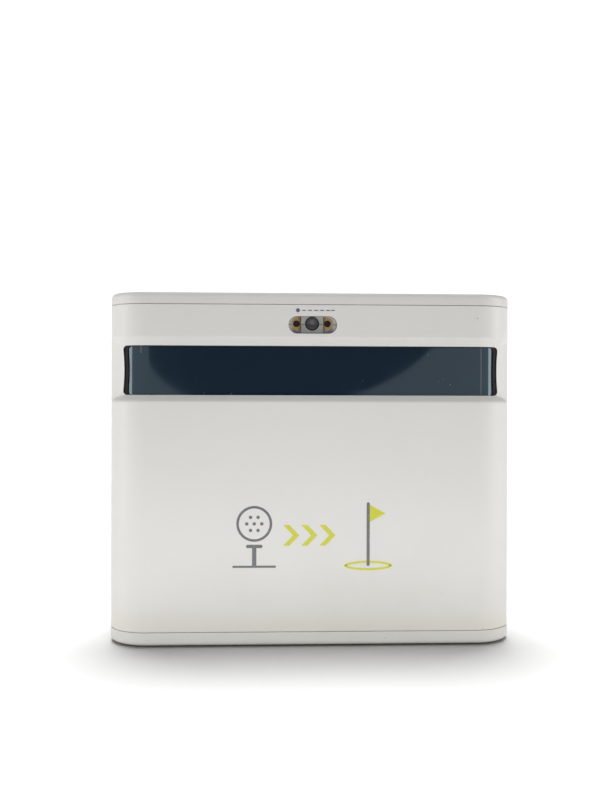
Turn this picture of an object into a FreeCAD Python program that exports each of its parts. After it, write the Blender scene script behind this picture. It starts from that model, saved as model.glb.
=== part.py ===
import FreeCAD, Part
import math
import os
import re

import Sketcher
from FreeCAD import Placement, Rotation, Vector

# Golf launch monitor: a free-standing camera box with a laser aperture, on three levelling feet.
# Frame: X to the right seen from the front, -Y is the front, +Z is up, and the ground is z = 0.
# Millimetres throughout.

doc = FreeCAD.newDocument("LaunchMonitor")
sheet = doc.addObject("Spreadsheet::Sheet", "sizes")

DRIVING_SIZES = {
    "casing": {
        "overall_width": 170.0,
        "overall_depth": 63.5,
        "overall_height": 146.6,
        "foot_gap": 0.8,  # from the ground to the underside of the casing
        "seam_low": 6.3,
        "seam_high": 141.7,
        "seam_gap": 0.12,
        "corner_radius": 16.5,
        "edge_round": 2.0,
        "edge_break": 0.25,
        "wall": 2.6,
        "split_place": 6.0,  # the front and rear shells meet here, on the sides
        "lip_height": 2.7,
        "lip_clearance": 0.15,
        "lip_thickness": 1.4,
    },
    "window": {
        "window_low": 104.1,
        "window_high": 124.7,
        "window_half": 79.0,
        "window_corner": 1.7,
        "window_bow": 0.5,  # how far the ends of the opening bow inwards
        "recess_depth": 3.0,
        "recess_slope_low": 2.6,
        "recess_slope_high": 3.3,
        "recess_round": 1.2,  # softens the outer edges of both slopes
        "recess_run": 1.5,  # how far the rounding may reach past those edges
        "recess_wall": 3.6,  # from the front face to the seat of the gasket
        "band_margin": 6.0,
        "gasket_thickness": 0.4,
        "window_thickness": 2.0,
        "window_margin": 2.5,
        "window_end": 80.7,
        "gasket_reach": 1.9,  # how much of the foam shows at each end of the opening
        "gasket_brow": 0.4,  # and along its top
    },
    "laser": {
        "slot_half": 10.1,
        "slot_radius": 3.65,
        "slot_height": 133.3,
        "laser_shift": -0.3,  # the laser's axis stands a little left of the slot's middle
        "laser_height": 133.85,
        "laser_split": 133.55,
        "split_hairline": 0.12,
        "clamp_face": 29.95,
        "clamp_back": 22.0,
        "clamp_flange": 28.0,
        "bridge_half": 4.55,
        "bridge_face": 31.2,
        "insert_pitch": 5.7,
        "insert_radius": 2.9,
        "insert_hole": 1.4,
        "insert_offset": 0.75,  # the hole stands this far outside the insert's middle
        "insert_length": 3.5,
        "lens_radius": 2.95,
        "lens_dome": 0.9,
        "barrel_radius": 4.2,
        "nose_radius": 2.3,
        "barrel_front": 26.2,
        "barrel_back": 9.0,
    },
    "rear_panel": {
        "panel_half": 34.0,
        "panel_height": 16.0,
        "panel_depth": 1.0,
        "panel_middle": 108.0,
        "panel_corner": 3.0,
        "power_place": 23.0,
        "mode_place": 8.0,
        "button_radius": 4.5,
        "button_clearance": 0.3,
        "usb_place": -24.0,
        "usb_width": 8.0,
        "usb_height": 3.2,
        "pipe_radius": 1.2,
        "pipe_first": -13.0,
        "pipe_pitch": 5.0,
        "io_board_back": 24.0,
    },
    "feet": {
        "foot_side": 60.0,
        "foot_front": -16.0,
        "foot_rear": 17.0,
        "pad_radius": 7.0,
        "pad_height": 1.8,
        "wheel_radius": 9.0,
        "wheel_low": 1.9,
        "wheel_high": 3.9,
        "pocket_radius": 9.5,
        "pocket_top": 4.3,
        "stud_radius": 2.4,
        "stud_top": 14.0,
        "foot_insert_radius": 3.5,
        "foot_insert_top": 10.0,
        "thread_clearance": 0.05,
    },
    "optics": {
        "axis_height": 114.4,
        "lens_front": 23.0,
        "lens_barrel_radius": 8.0,
        "lens_thread_radius": 6.9,
        "lens_glass_radius": 6.2,
        "mount_half": 10.0,
        "mount_front": 12.0,
        "camera_board_front": 4.0,
        "board_thickness": 1.6,
        "shroud_half": 16.5,
        "shroud_wall": 1.5,
        "shroud_front": 25.5,
        "flash_near": 24.0,
        "flash_width": 44.0,
        "flash_board_front": 19.6,
        "fin_thickness": 1.4,
        "fin_pitch": 3.9,
    },
    "frame_and_power": {
        "chassis_half": 64.0,
        "chassis_low": 10.5,
        "chassis_top": 138.0,
        "chassis_thickness": 1.5,
        "main_board_half": 52.0,
        "main_board_low": 22.0,
        "main_board_height": 70.0,
        "main_board_front": 8.0,
        "cell_radius": 9.2,
        "cell_length": 65.0,
        "cell_depth": 13.0,
        "cell_low": 28.0,
        "cell_pitch": 19.2,
        "capacitor_radius": 5.0,
        "capacitor_length": 16.0,
    },
    "fasteners": {
        "post_place": 72.0,
        "post_low": 14.0,
        "post_high": 134.6,
        "post_radius": 3.5,
        "screw_radius": 1.45,
        "screw_head": 2.75,
        "head_pocket": 3.1,
        "base_screw_side": 42.0,
        "base_screw_depth": 25.4,
        "tapped_clearance": 0.05,
    },
}

SIZES = {}
row = 1
for group_name, group in DRIVING_SIZES.items():
    sheet.set(f"A{row}", group_name)
    row += 1
    for alias, number in group.items():
        sheet.set(f"A{row}", alias)
        sheet.set(f"B{row}", str(number))
        sheet.setAlias(f"B{row}", alias)
        SIZES[alias] = number
        row += 1
doc.recompute()

ALONG_X = Rotation(Vector(0, 1, 0), 90)
ALONG_Y = Rotation(Vector(1, 0, 0), -90)  # a cylinder's own axis then points to the rear
ALONG_Z = Rotation()
NODES = []


# ---- how pieces are made ---------------------------------------------------------------------


def expression(text):
    """The text with every size read from the sheet."""
    return re.sub(r"[a-z][a-z_]+", lambda m: "sizes." + m[0] if m[0] in SIZES else m[0], str(text))


def bind(obj, **properties):
    for name, text in properties.items():
        obj.setExpression(name, expression(text))


def place(obj, at, rotation=ALONG_Z):
    obj.Placement = Placement(Vector(), rotation)
    for axis, text in zip("xyz", at):
        obj.setExpression("Placement.Base." + axis, expression(text))
    return obj


def block(size, low):
    """A box from its size and its lowest corner."""
    box = doc.addObject("Part::Box", "Block")
    bind(box, Length=size[0], Width=size[1], Height=size[2])
    return place(box, low)


def centred(size, middle, low_y, low_z):
    """A box that is centred across X, with its front and its underside given."""
    return block(size, (f"{middle} - ({size[0]}) / 2", low_y, low_z))


def rod(radius, length, at, rotation=ALONG_Z):
    cylinder = doc.addObject("Part::Cylinder", "Rod")
    bind(cylinder, Radius=radius, Height=length)
    return place(cylinder, at, rotation)


def fuse(*shapes):
    if len(shapes) == 1:
        return shapes[0]
    result = doc.addObject("Part::MultiFuse", "Fusion")
    result.Shapes = list(shapes)
    return result


def cut(base, *tools):
    result = doc.addObject("Part::Cut", "Cut")
    result.Base = base
    result.Tool = fuse(*tools)
    return result


def common(first, second):
    result = doc.addObject("Part::Common", "Common")
    result.Base = first
    result.Tool = second
    return result


def node(name, *shapes):
    """One piece, or one group of like fasteners, under the name that its file gets."""
    if len(shapes) == 1:
        result = shapes[0]
    else:
        result = doc.addObject("Part::Compound", "Group")
        result.Links = list(shapes)
    result.Label = name
    NODES.append(result)
    return result


def edges_where(shape, chosen):
    """Numbers of the shape's edges whose box passes the test."""
    return [n + 1 for n, edge in enumerate(shape.Edges) if chosen(edge.BoundBox)]


def is_flat(box):
    """Does this edge lie at one height?"""
    return box.ZLength < 1e-5


def rounded_block(inset, low, high):
    """The casing's plan, inset from its outside, between two heights."""
    box = centred(
        (f"overall_width - 2 * ({inset})", f"overall_depth - 2 * ({inset})", f"({high}) - ({low})"),
        "0",
        f"({inset}) - overall_depth / 2",
        low,
    )
    doc.recompute()
    upright = edges_where(box.Shape, lambda b: b.ZLength > 1e-3)
    radius = SIZES["corner_radius"] - worth(inset)
    rounded = doc.addObject("Part::Fillet", "RoundedBlock")
    rounded.Base = box
    rounded.Edges = [(n, radius, radius) for n in upright]
    doc.recompute()
    return rounded


def worth(text):
    """The number that a text of sizes comes to."""
    numbers = re.sub(r"[a-z][a-z_]+", lambda m: str(SIZES.get(m[0], m[0])), str(text))
    return FreeCAD.Units.Quantity(numbers).Value


def bevelled(base, across, upright, at_top):
    """A rounded block with its top or bottom rim bevelled: so far across, and so far up."""
    box = base.Shape.BoundBox
    level = box.ZMax if at_top else box.ZMin
    rim = edges_where(base.Shape, lambda b: is_flat(b) and abs(b.ZMin - level) < 1e-6)
    # A chamfer's first size lies on the edge's first face, which is the flat end or the wall.
    results = []
    for first, second in ((across, upright), (upright, across)):
        chamfer = doc.addObject("Part::Chamfer", "Bevel")
        chamfer.Base = base
        chamfer.Edges = [(n, first, second) for n in rim]
        doc.recompute()
        results.append(chamfer)
    flat = [
        max(f.Area for f in r.Shape.Faces if abs(f.BoundBox.ZMin - level) + f.BoundBox.ZLength < 1e-6)
        for r in results
    ]
    kept, dropped = sorted(results, key=lambda r: flat[results.index(r)], reverse=across < upright)
    doc.removeObject(dropped.Name)
    return kept


def rounded_edges(base, radius, chosen):
    numbers = edges_where(base.Shape, chosen)
    fillet = doc.addObject("Part::Fillet", "Rounded")
    fillet.Base = base
    fillet.Edges = [(n, radius, radius) for n in numbers]
    doc.recompute()
    return fillet


def shape_node(name, shape):
    """A piece whose shape is made by Part's own functions, from sizes of the sheet."""
    feature = doc.addObject("Part::Feature", name)
    feature.Shape = shape
    feature.Placement = Placement()
    return feature


def new_body(name):
    body = doc.addObject("PartDesign::Body", name + "_body")
    body.Label = name
    NODES.append(body)
    return body


def sketch_on(body, name, role, offset="0"):
    """A sketch on one of the body's own origin planes, moved along the plane's normal."""
    sketch = body.newObject("Sketcher::SketchObject", name)
    plane = next(f for f in body.Origin.OriginFeatures if f.Role == role)
    sketch.AttachmentSupport = [(plane, "")]
    sketch.MapMode = "FlatFace"
    sketch.setExpression("AttachmentOffset.Base.z", expression(offset))
    return sketch


def add_plan(sketch, inset):
    """The casing's plan in a sketch: four sides and four round corners, held by the sheet."""
    half_x = worth(f"overall_width / 2 - ({inset})")
    half_y = worth(f"overall_depth / 2 - ({inset})")
    radius = worth(f"corner_radius - ({inset})")
    first = sketch.GeometryCount
    turns = ((1, 1, 0), (-1, 1, 90), (-1, -1, 180), (1, -1, 270))
    for side_x, side_y, start in turns:
        centre = Vector(side_x * (half_x - radius), side_y * (half_y - radius), 0)
        circle = Part.Circle(centre, Vector(0, 0, 1), radius)
        arc = Part.ArcOfCircle(circle, math.radians(start), math.radians(start + 90))
        sketch.addGeometry(arc, False)
    for n in range(4):
        line = Part.LineSegment(
            sketch.getPoint(first + n, 2), sketch.getPoint(first + (n + 1) % 4, 1)
        )
        sketch.addGeometry(line, False)
    for n in range(4):
        sketch.addConstraint(Sketcher.Constraint("Tangent", first + n, 2, first + 4 + n, 1))
        sketch.addConstraint(
            Sketcher.Constraint("Tangent", first + 4 + n, 2, first + (n + 1) % 4, 1)
        )
    sketch.addConstraint(Sketcher.Constraint("Horizontal", first + 4))
    sketch.addConstraint(Sketcher.Constraint("Vertical", first + 5))
    for n in (1, 2, 3):
        sketch.addConstraint(Sketcher.Constraint("Equal", first, first + n))
    sketch.addConstraint(Sketcher.Constraint("Symmetric", first, 3, first + 2, 3, -1, 1))
    for kind, geometry, text in (
        ("Radius", (first,), f"corner_radius - ({inset})"),
        ("DistanceX", (first + 1, 3, first, 3), "overall_width - 2 * corner_radius"),
        ("DistanceY", (first + 2, 3, first + 1, 3), "overall_depth - 2 * corner_radius"),
    ):
        number = sketch.addConstraint(Sketcher.Constraint(kind, *geometry, worth(text)))
        sketch.setExpression(f"Constraints[{number}]", expression(text))


def add_circle(sketch, x, y, radius):
    """A circle whose centre and radius the sheet holds."""
    at = Vector(worth(x), worth(y), 0)
    circle = sketch.addGeometry(Part.Circle(at, Vector(0, 0, 1), worth(radius)), False)
    number = sketch.addConstraint(Sketcher.Constraint("Radius", circle, worth(radius)))
    sketch.setExpression(f"Constraints[{number}]", expression(radius))
    for kind, text, value in (("DistanceX", x, at.x), ("DistanceY", y, at.y)):
        if abs(value) < 1e-9:
            on_axis = -2 if kind == "DistanceX" else -1
            sketch.addConstraint(Sketcher.Constraint("PointOnObject", circle, 3, on_axis))
            continue
        number = sketch.addConstraint(Sketcher.Constraint(kind, -1, 1, circle, 3, value))
        sketch.setExpression(f"Constraints[{number}]", expression(text))


def pad(body, sketch, length, down=False):
    feature = body.newObject("PartDesign::Pad", "Pad")
    feature.Profile = sketch
    feature.Reversed = down
    bind(feature, Length=length)
    doc.recompute()
    return feature


def pocket(body, sketch, depth, up=False):
    """Removes the sketch's area, down from its plane or up from it, and makes sure that it cut."""
    before = body.Shape.Volume
    feature = body.newObject("PartDesign::Pocket", "Pocket")
    feature.Profile = sketch
    feature.Reversed = up
    bind(feature, Length=depth)
    doc.recompute()
    if not body.Shape.Volume < before - 1e-3:
        raise RuntimeError(f"a pocket of {body.Label} cut nothing")
    return feature


def revolved(name, profile):
    """A turned piece: a profile of (radius, height) points about the body's own Z axis."""
    body = new_body(name)
    sketch = sketch_on(body, name + "_profile", "XZ_Plane")
    points = [Vector(worth(r), worth(z), 0) for r, z in profile]
    count = len(points)
    for n in range(count):
        sketch.addGeometry(Part.LineSegment(points[n], points[(n + 1) % count]), False)
    for n in range(count):
        sketch.addConstraint(Sketcher.Constraint("Coincident", n, 2, (n + 1) % count, 1))
    for n, (point, (radius, height)) in enumerate(zip(points, profile)):
        for kind, text, value in (("DistanceX", radius, point.x), ("DistanceY", height, point.y)):
            if abs(value) < 1e-9:
                axis = -2 if kind == "DistanceX" else -1
                sketch.addConstraint(Sketcher.Constraint("PointOnObject", n, 1, axis))
                continue
            number = sketch.addConstraint(Sketcher.Constraint(kind, -1, 1, n, 1, value))
            sketch.setExpression(f"Constraints[{number}]", expression(text))
    turned = body.newObject("PartDesign::Revolution", name + "_turned")
    turned.Profile = sketch
    turned.ReferenceAxis = (sketch, ["V_Axis"])
    turned.Angle = 360
    doc.recompute()
    return body


def lead(points, bend, radius):
    """A wire along straight runs joined by tangent arcs."""
    points = [Vector(*p) for p in points]
    edges, start = [], points[0]
    for before, corner, after in zip(points, points[1:], points[2:]):
        into, out = (corner - before).normalize(), (after - corner).normalize()
        back = bend * math.tan(into.getAngle(out) / 2)
        first, last = corner - into * back, corner + out * back
        inside = (out - into).normalize()
        middle = corner + inside * (math.hypot(bend, back) - bend)
        edges.append(Part.LineSegment(start, first).toShape())
        edges.append(Part.Arc(first, middle, last).toShape())
        start = last
    edges.append(Part.LineSegment(start, points[-1]).toShape())
    section = Part.Wire(
        Part.Circle(points[0], (points[1] - points[0]).normalize(), radius).toShape()
    )
    swept = Part.Wire(edges).makePipeShell([section], True, False)
    swept.fix(1e-5, 1e-5, 1e-5)
    return swept


# ---- casing ----------------------------------------------------------------------------------


def recess_cutter():
    """The waist cut round the window: a groove with sloping sides, which ends at a flat bevel
    across each front corner."""
    low_edge = "window_low - recess_slope_low - recess_run"
    high_edge = "window_high + recess_slope_high + recess_run"
    depth = SIZES["recess_depth"]
    ring = rounded_block("-1", low_edge, high_edge)
    core = rounded_block("recess_depth", low_edge, high_edge)
    below = rounded_block("0", low_edge, "window_low")
    above = rounded_block("0", "window_high", high_edge)
    below = bevelled(below, depth, SIZES["recess_slope_low"], at_top=True)
    above = bevelled(above, depth, SIZES["recess_slope_high"], at_top=False)
    low_level = worth("window_low - recess_slope_low")
    high_level = worth("window_high + recess_slope_high")
    softness = SIZES["recess_round"]
    below = rounded_edges(below, softness, lambda b: is_flat(b) and abs(b.ZMin - low_level) < 1e-4)
    above = rounded_edges(above, softness, lambda b: is_flat(b) and abs(b.ZMin - high_level) < 1e-4)
    keep = []
    tangent = "(corner_radius - recess_depth) * sqrt(0.5)"
    for side in (1, -1):
        wedge = doc.addObject("Part::Box", "CornerWedge")
        bind(wedge, Length="corner_radius * 1.5", Width="corner_radius * 1.5", Height="80")
        place(
            wedge,
            (
                f"{side} * (overall_width / 2 - corner_radius + {tangent})",
                f"corner_radius - overall_depth / 2 - {tangent}",
                "window_low - 30",
            ),
            Rotation(Vector(0, 0, 1), 45),
        )
        keep.append(wedge)
    behind = centred(
        ("overall_width + 10", "overall_depth + 10", "80"), "0", "-12", "window_low - 30"
    )
    return cut(ring, core, below, above, behind, *keep)


def aperture(thickness, reach=0.0, brow=0.0):
    """The window's opening as a prism along Y: round corners, and ends that bow inwards. reach
    makes it shorter at both ends, and brow makes it lower at the top."""
    half, corner = SIZES["window_half"] - reach, SIZES["window_corner"]
    low, high = SIZES["window_low"], SIZES["window_high"] - brow
    middle, bow = (low + high) / 2, SIZES["window_bow"]
    front = -SIZES["overall_depth"] / 2 - 1
    lean = corner * (1 - math.sqrt(0.5))

    def at(x, z):
        return Vector(x, front, z)

    edges = []
    for side in (1, -1):
        end = side * half
        inner = side * (half - corner)
        round_point = side * (half - lean)
        edges += [
            Part.Arc(at(inner, low), at(round_point, low + lean), at(end, low + corner)),
            Part.Arc(at(end, low + corner), at(end - side * bow, middle), at(end, high - corner)),
            Part.Arc(at(end, high - corner), at(round_point, high - lean), at(inner, high)),
        ]
    edges += [Part.LineSegment(at(corner - half, z), at(half - corner, z)) for z in (low, high)]
    wire = Part.Wire(Part.sortEdges([e.toShape() for e in edges])[0])
    return shape_node("aperture", Part.Face(wire).extrude(Vector(0, thickness, 0)))


def laser_slot(inset, front, back, centre="slot_height"):
    """The obround outline of the laser aperture, as a solid between two depths behind zero."""
    length = f"({front}) - ({back})"
    radius = f"slot_radius - ({inset})"
    ends = [
        rod(radius, length, (f"{side} * (slot_half - slot_radius)", f"-({front})", centre), ALONG_Y)
        for side in (1, -1)
    ]
    middle = centred(
        ("2 * (slot_half - slot_radius)", length, f"2 * ({radius})"),
        "0",
        f"-({front})",
        f"{centre} - ({radius})",
    )
    return fuse(middle, *ends)


def posts(front, back, radius):
    """The four screw posts that run from the front shell to the rear shell."""
    return [
        rod(radius, f"({back}) - ({front})", (f"{side} * post_place", front, level), ALONG_Y)
        for side in (1, -1)
        for level in ("post_low", "post_high")
    ]


def base_posts(depth, low, high, radius):
    """The upright posts for the screws of the bottom cap."""
    return [
        rod(radius, f"({high}) - ({low})", (f"{side} * base_screw_side", depth, low))
        for side in (1, -1)
    ]


def shell_block():
    """The outside of the sleeve between the two caps, with broken edges at both rims."""
    outer = rounded_block("0", "seam_low", "seam_high")
    box = outer.Shape.BoundBox

    def at_rim(edge_box):
        return is_flat(edge_box) and min(edge_box.ZMin - box.ZMin, box.ZMax - edge_box.ZMin) < 1e-6

    chamfer = doc.addObject("Part::Chamfer", "BrokenRims")
    chamfer.Base = outer
    size = SIZES["edge_break"]
    chamfer.Edges = [(n, size, size) for n in edges_where(outer.Shape, at_rim)]
    doc.recompute()
    return chamfer


def front_shell():
    """Moulded front half: the face, both front corners, the recess and the laser slot."""
    cavity = fuse(
        rounded_block("wall", "seam_low - 1", "window_low - band_margin"),
        rounded_block("recess_wall", "window_low - band_margin", "window_high + band_margin"),
        rounded_block("wall", "window_high + band_margin", "seam_high + 1"),
    )
    ahead = centred(
        ("overall_width + 2", "overall_depth", "overall_height"),
        "0",
        "split_place - overall_depth",
        "0",
    )
    sleeve = common(cut(shell_block(), cavity), ahead)
    columns = posts("wall - 0.3 - overall_depth / 2", "13", "post_radius")
    columns += base_posts("-base_screw_depth", "seam_low + lip_height + 0.2", "20", "post_radius + 0.7")
    holes = posts("2", "14", "screw_radius + tapped_clearance")
    holes += base_posts("-base_screw_depth", "seam_low", "19", "screw_radius + tapped_clearance")
    slot = laser_slot("0", "40", "20")
    rebate = [
        block(("0.7", "2.3", "seam_high - seam_low + 2"), (x, "split_place - 2.2", "seam_low - 1"))
        for x in ("overall_width / 2 - wall - 0.05", "wall - 0.65 - overall_width / 2")
    ]
    solid = cut(
        fuse(sleeve, *columns), recess_cutter(), aperture(16.0), slot, *rebate, *holes
    )
    return node("front_shell", solid)


def rear_shell():
    """Moulded rear half: the back, both rear corners, and a shallow panel for the controls."""
    behind = centred(
        ("overall_width + 2", "overall_depth", "overall_height"),
        "0",
        "split_place + seam_gap",
        "0",
    )
    sleeve = common(
        cut(shell_block(), rounded_block("wall", "seam_low - 1", "seam_high + 1")), behind
    )
    tongue = [
        block(
            ("0.5", "4", "seam_high - seam_low - 1"),
            (x, "split_place - 2", "seam_low + 0.5"),
        )
        for x in ("overall_width / 2 - wall", "wall - 0.5 - overall_width / 2")
    ]
    columns = posts("13.2", "overall_depth / 2 - wall + 0.3", "post_radius")
    columns += base_posts("base_screw_depth", "seam_low + lip_height + 0.2", "20", "post_radius + 0.7")
    board_bosses = [
        rod("2.5", "5.6", (f"{x}", "io_board_back", f"panel_middle + {z}"), ALONG_Y)
        for x in (-31, 31)
        for z in (-7, 7)
    ]
    panel = centred(
        ("2 * panel_half", "2", "panel_height"),
        "0",
        "overall_depth / 2 - panel_depth",
        "panel_middle - panel_height / 2",
    )
    doc.recompute()
    panel = rounded_edges(panel, SIZES["panel_corner"], lambda b: b.YLength > 1)
    hole = "button_radius + button_clearance"
    openings = [
        rod(hole, "8", (x, "26", "panel_middle"), ALONG_Y) for x in ("power_place", "mode_place")
    ]
    openings += [
        rod("pipe_radius", "8", (f"pipe_first + {n} * pipe_pitch", "26", "panel_middle"), ALONG_Y)
        for n in range(3)
    ]
    openings.append(
        centred(
            ("usb_width + 0.6", "8", "usb_height + 0.6"),
            "usb_place",
            "26",
            "panel_middle - usb_height / 2 - 0.3",
        )
    )
    openings += posts("10", "40", "screw_radius + 0.25")
    openings += posts("overall_depth / 2 - 3", "40", "head_pocket")
    openings += base_posts("base_screw_depth", "seam_low", "19", "screw_radius + tapped_clearance")
    openings += [
        rod("0.95", "4", (f"{x}", "io_board_back - 0.5", f"panel_middle + {z}"), ALONG_Y)
        for x in (-31, 31)
        for z in (-7, 7)
    ]
    return node(
        "rear_shell", cut(fuse(sleeve, *tongue, *columns, *board_bosses), panel, *openings)
    )


def round_rim(body, level, radius):
    """Rounds the cap's outer rim at this height."""
    tip = body.Tip
    width = SIZES["overall_width"] / 2
    rim = [
        f"Edge{n}"
        for n in edges_where(
            tip.Shape,
            lambda b: is_flat(b)
            and abs(b.ZMin - level) < 1e-6
            and (b.XLength > width or max(abs(b.XMin), abs(b.XMax)) > width - 1e-3
                 or max(abs(b.YMin), abs(b.YMax)) > SIZES["overall_depth"] / 2 - 1e-3),
        )
    ]
    fillet = body.newObject("PartDesign::Fillet", "RoundRim")
    fillet.Base = (tip, rim)
    fillet.Radius = radius
    doc.recompute()
    return fillet


def add_lip(body, level, length, down):
    """The thin wall that stands inside the shells and locates the cap."""
    sketch = sketch_on(body, "Lip", "XY_Plane", level)
    add_plan(sketch, "wall + lip_clearance")
    add_plan(sketch, "wall + lip_clearance + lip_thickness")
    return pad(body, sketch, length, down)


def top_cap():
    """Moulded lid with a round edge. It snaps into the shells by its lip."""
    body = new_body("top_cap")
    plan = sketch_on(body, "Plan", "XY_Plane", "seam_high + seam_gap")
    add_plan(plan, "0")
    pad(body, plan, "overall_height - seam_high - seam_gap")
    round_rim(body, SIZES["overall_height"], SIZES["edge_round"])
    hollow = sketch_on(body, "Hollow", "XY_Plane", "seam_high + seam_gap")
    add_plan(hollow, "wall + lip_clearance + lip_thickness")
    pocket(body, hollow, "overall_height - seam_high - seam_gap - wall", up=True)
    add_lip(body, "seam_high + seam_gap", "lip_height", down=True)


FEET = (
    ("left", "-foot_side", "foot_front"),
    ("right", "foot_side", "foot_front"),
    ("rear", "0", "foot_rear"),
)
CHASSIS_FEET = (("-32", "8"), ("32", "8"))


def bottom_cap():
    """Moulded base: pockets for the three thumb wheels, and bosses for inserts and screws."""
    body = new_body("bottom_cap")
    plan = sketch_on(body, "Plan", "XY_Plane", "foot_gap")
    add_plan(plan, "0")
    pad(body, plan, "seam_low - seam_gap - foot_gap")
    round_rim(body, SIZES["foot_gap"], SIZES["edge_round"] * 0.8)
    hollow = sketch_on(body, "Hollow", "XY_Plane", "foot_gap + wall + 0.1")
    add_plan(hollow, "wall + lip_clearance + lip_thickness")
    pocket(body, hollow, "10", up=True)
    add_lip(body, "seam_low - seam_gap - 1", "lip_height + 1", down=False)

    def pads(name, centres, radius, low, high):
        sketch = sketch_on(body, name, "XY_Plane", low)
        for x, y in centres:
            add_circle(sketch, x, y, radius)
        pad(body, sketch, f"({high}) - ({low})")

    def holes(name, centres, radius, low, high):
        sketch = sketch_on(body, name, "XY_Plane", low)
        for x, y in centres:
            add_circle(sketch, x, y, radius)
        pocket(body, sketch, f"({high}) - ({low})", up=True)

    feet = [(x, y) for _, x, y in FEET]
    screws = [
        (f"{side} * base_screw_side", f"{end} * base_screw_depth")
        for side in (1, -1)
        for end in (1, -1)
    ]
    inside = "foot_gap + 1"
    pads("PocketWalls", feet, "pocket_radius + 1.7", inside, "pocket_top + 2")
    pads("InsertBosses", feet, "foot_insert_radius + 2", inside, "foot_insert_top + 0.4")
    pads("ScrewBosses", screws, "post_radius", inside, "seam_low + lip_height + 0.1")
    pads("ChassisBosses", CHASSIS_FEET, "4", inside, "chassis_low")
    holes("WheelPockets", feet, "pocket_radius", "0", "pocket_top")
    holes("InsertSeats", feet, "foot_insert_radius", "pocket_top - 0.5", "foot_insert_top + 1")
    holes("ScrewHoles", screws, "screw_radius + 0.25", "0", "20")
    holes("HeadSeats", screws, "head_pocket", "0", "foot_gap + 2.2")
    holes("ChassisScrewHoles", CHASSIS_FEET, "screw_radius + tapped_clearance", "6", "20")


# ---- window and laser ------------------------------------------------------------------------


def strip(front, back):
    """A strip that follows the front and both corners, between two insets of the plan."""
    low = "window_low - window_margin"
    high = "window_high + window_margin"
    ring = cut(
        rounded_block(front, low, high), rounded_block(back, f"{low} - 1", f"{high} + 1")
    )
    ahead = centred(
        ("2 * window_end", "overall_depth / 2", "overall_height"),
        "0",
        "-overall_depth / 2 - 12",
        "0",
    )
    return common(ring, ahead)


def window_pieces():
    seat = "recess_wall + gasket_thickness"
    foam = strip("recess_wall", seat)
    opening = aperture(20.0, SIZES["gasket_reach"], SIZES["gasket_brow"])
    node("window_gasket", cut(foam, opening))
    node("window", strip(seat, f"{seat} + window_thickness"))


def laser_clamp(name, upper):
    """Half of the grey insert that fills the slot and grips the laser and its two inserts."""
    slip = "0.1"
    plug = laser_slot(slip, "clamp_face", "clamp_back")
    flange = laser_slot("-1.6", "clamp_flange", "24")
    bridge = common(
        laser_slot(slip, "bridge_face", "clamp_face"),
        centred(("2 * bridge_half", "20", "20"), "laser_shift", "-40", "slot_height - 10"),
    )
    bores = [
        rod(
            "insert_radius",
            "insert_length + 0.1",
            (f"laser_shift + {side} * insert_pitch", "-clamp_face", "laser_height"),
            ALONG_Y,
        )
        for side in (1, -1)
    ]
    nose = ("laser_shift", "-28.5", "laser_height")
    bores.append(rod("nose_radius", "20", nose, ALONG_Y))
    bores.append(
        rod("barrel_radius", "20", ("laser_shift", "-barrel_front", "laser_height"), ALONG_Y)
    )
    lens_seat = rod("lens_radius", "20", ("laser_shift", "-40", "laser_height"), ALONG_Y)
    edge = "laser_split + split_hairline / 2" if upper else "laser_split - split_hairline / 2 - 20"
    half = centred(("60", "60", "20"), "0", "-50", edge)
    whole = cut(fuse(plug, flange), *bores)
    return node(name, common(cut(fuse(whole, bridge), lens_seat), half))


def laser_pieces():
    def inserted(side, outwards):
        return (
            f"laser_shift + {side} * (insert_pitch + {outwards})",
            "0.05 - clamp_face",
            "laser_height",
        )

    laser_clamp("laser_clamp_upper", True)
    laser_clamp("laser_clamp_lower", False)
    node(
        "laser_inserts",
        *[
            cut(
                rod("insert_radius", "insert_length", inserted(side, "0"), ALONG_Y),
                rod("insert_hole", "insert_length - 0.5", inserted(side, "insert_offset"), ALONG_Y),
            )
            for side in (1, -1)
        ],
    )
    # The lens's own Z points out of the front, so that its dome comes first.
    lens = revolved(
        "laser_lens",
        (
            ("0", "-0.55"),
            ("lens_radius", "-0.55"),
            ("lens_radius", "0"),
            ("lens_radius * 0.92", "lens_dome * 0.4"),
            ("lens_radius * 0.7", "lens_dome * 0.76"),
            ("lens_radius * 0.38", "lens_dome * 0.95"),
            ("0", "lens_dome"),
        ),
    )
    place(lens, ("laser_shift", "0.6 - bridge_face", "laser_height"), Rotation(Vector(1, 0, 0), 90))
    barrel = rod(
        "barrel_radius",
        "barrel_front - barrel_back",
        ("laser_shift", "-barrel_front", "laser_height"),
        ALONG_Y,
    )
    nose = rod("nose_radius", "3", ("laser_shift", "-28.4", "laser_height"), ALONG_Y)
    bore = rod("1.6", "8", ("laser_shift", "-29", "laser_height"), ALONG_Y)
    node("laser_barrel", cut(fuse(barrel, nose), bore))
    node("laser_board", centred(("14", "1.6", "10"), "laser_shift", "-barrel_back", "128.8"))


# ---- controls on the back --------------------------------------------------------------------


def button(name, x):
    """A round push button with a collar behind the panel and a stem for its switch."""
    body = revolved(
        name,
        (
            ("0", "0"),
            ("1.6", "0"),
            ("1.6", "2.2"),
            ("button_radius + 1.3", "2.2"),
            ("button_radius + 1.3", "3.2"),
            ("button_radius", "3.2"),
            ("button_radius", "5.2"),
            ("button_radius - 0.4", "5.6"),
            ("0", "5.4"),
        ),
    )
    place(body, (x, "io_board_back + 1.55", "panel_middle"), ALONG_Y)


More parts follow.
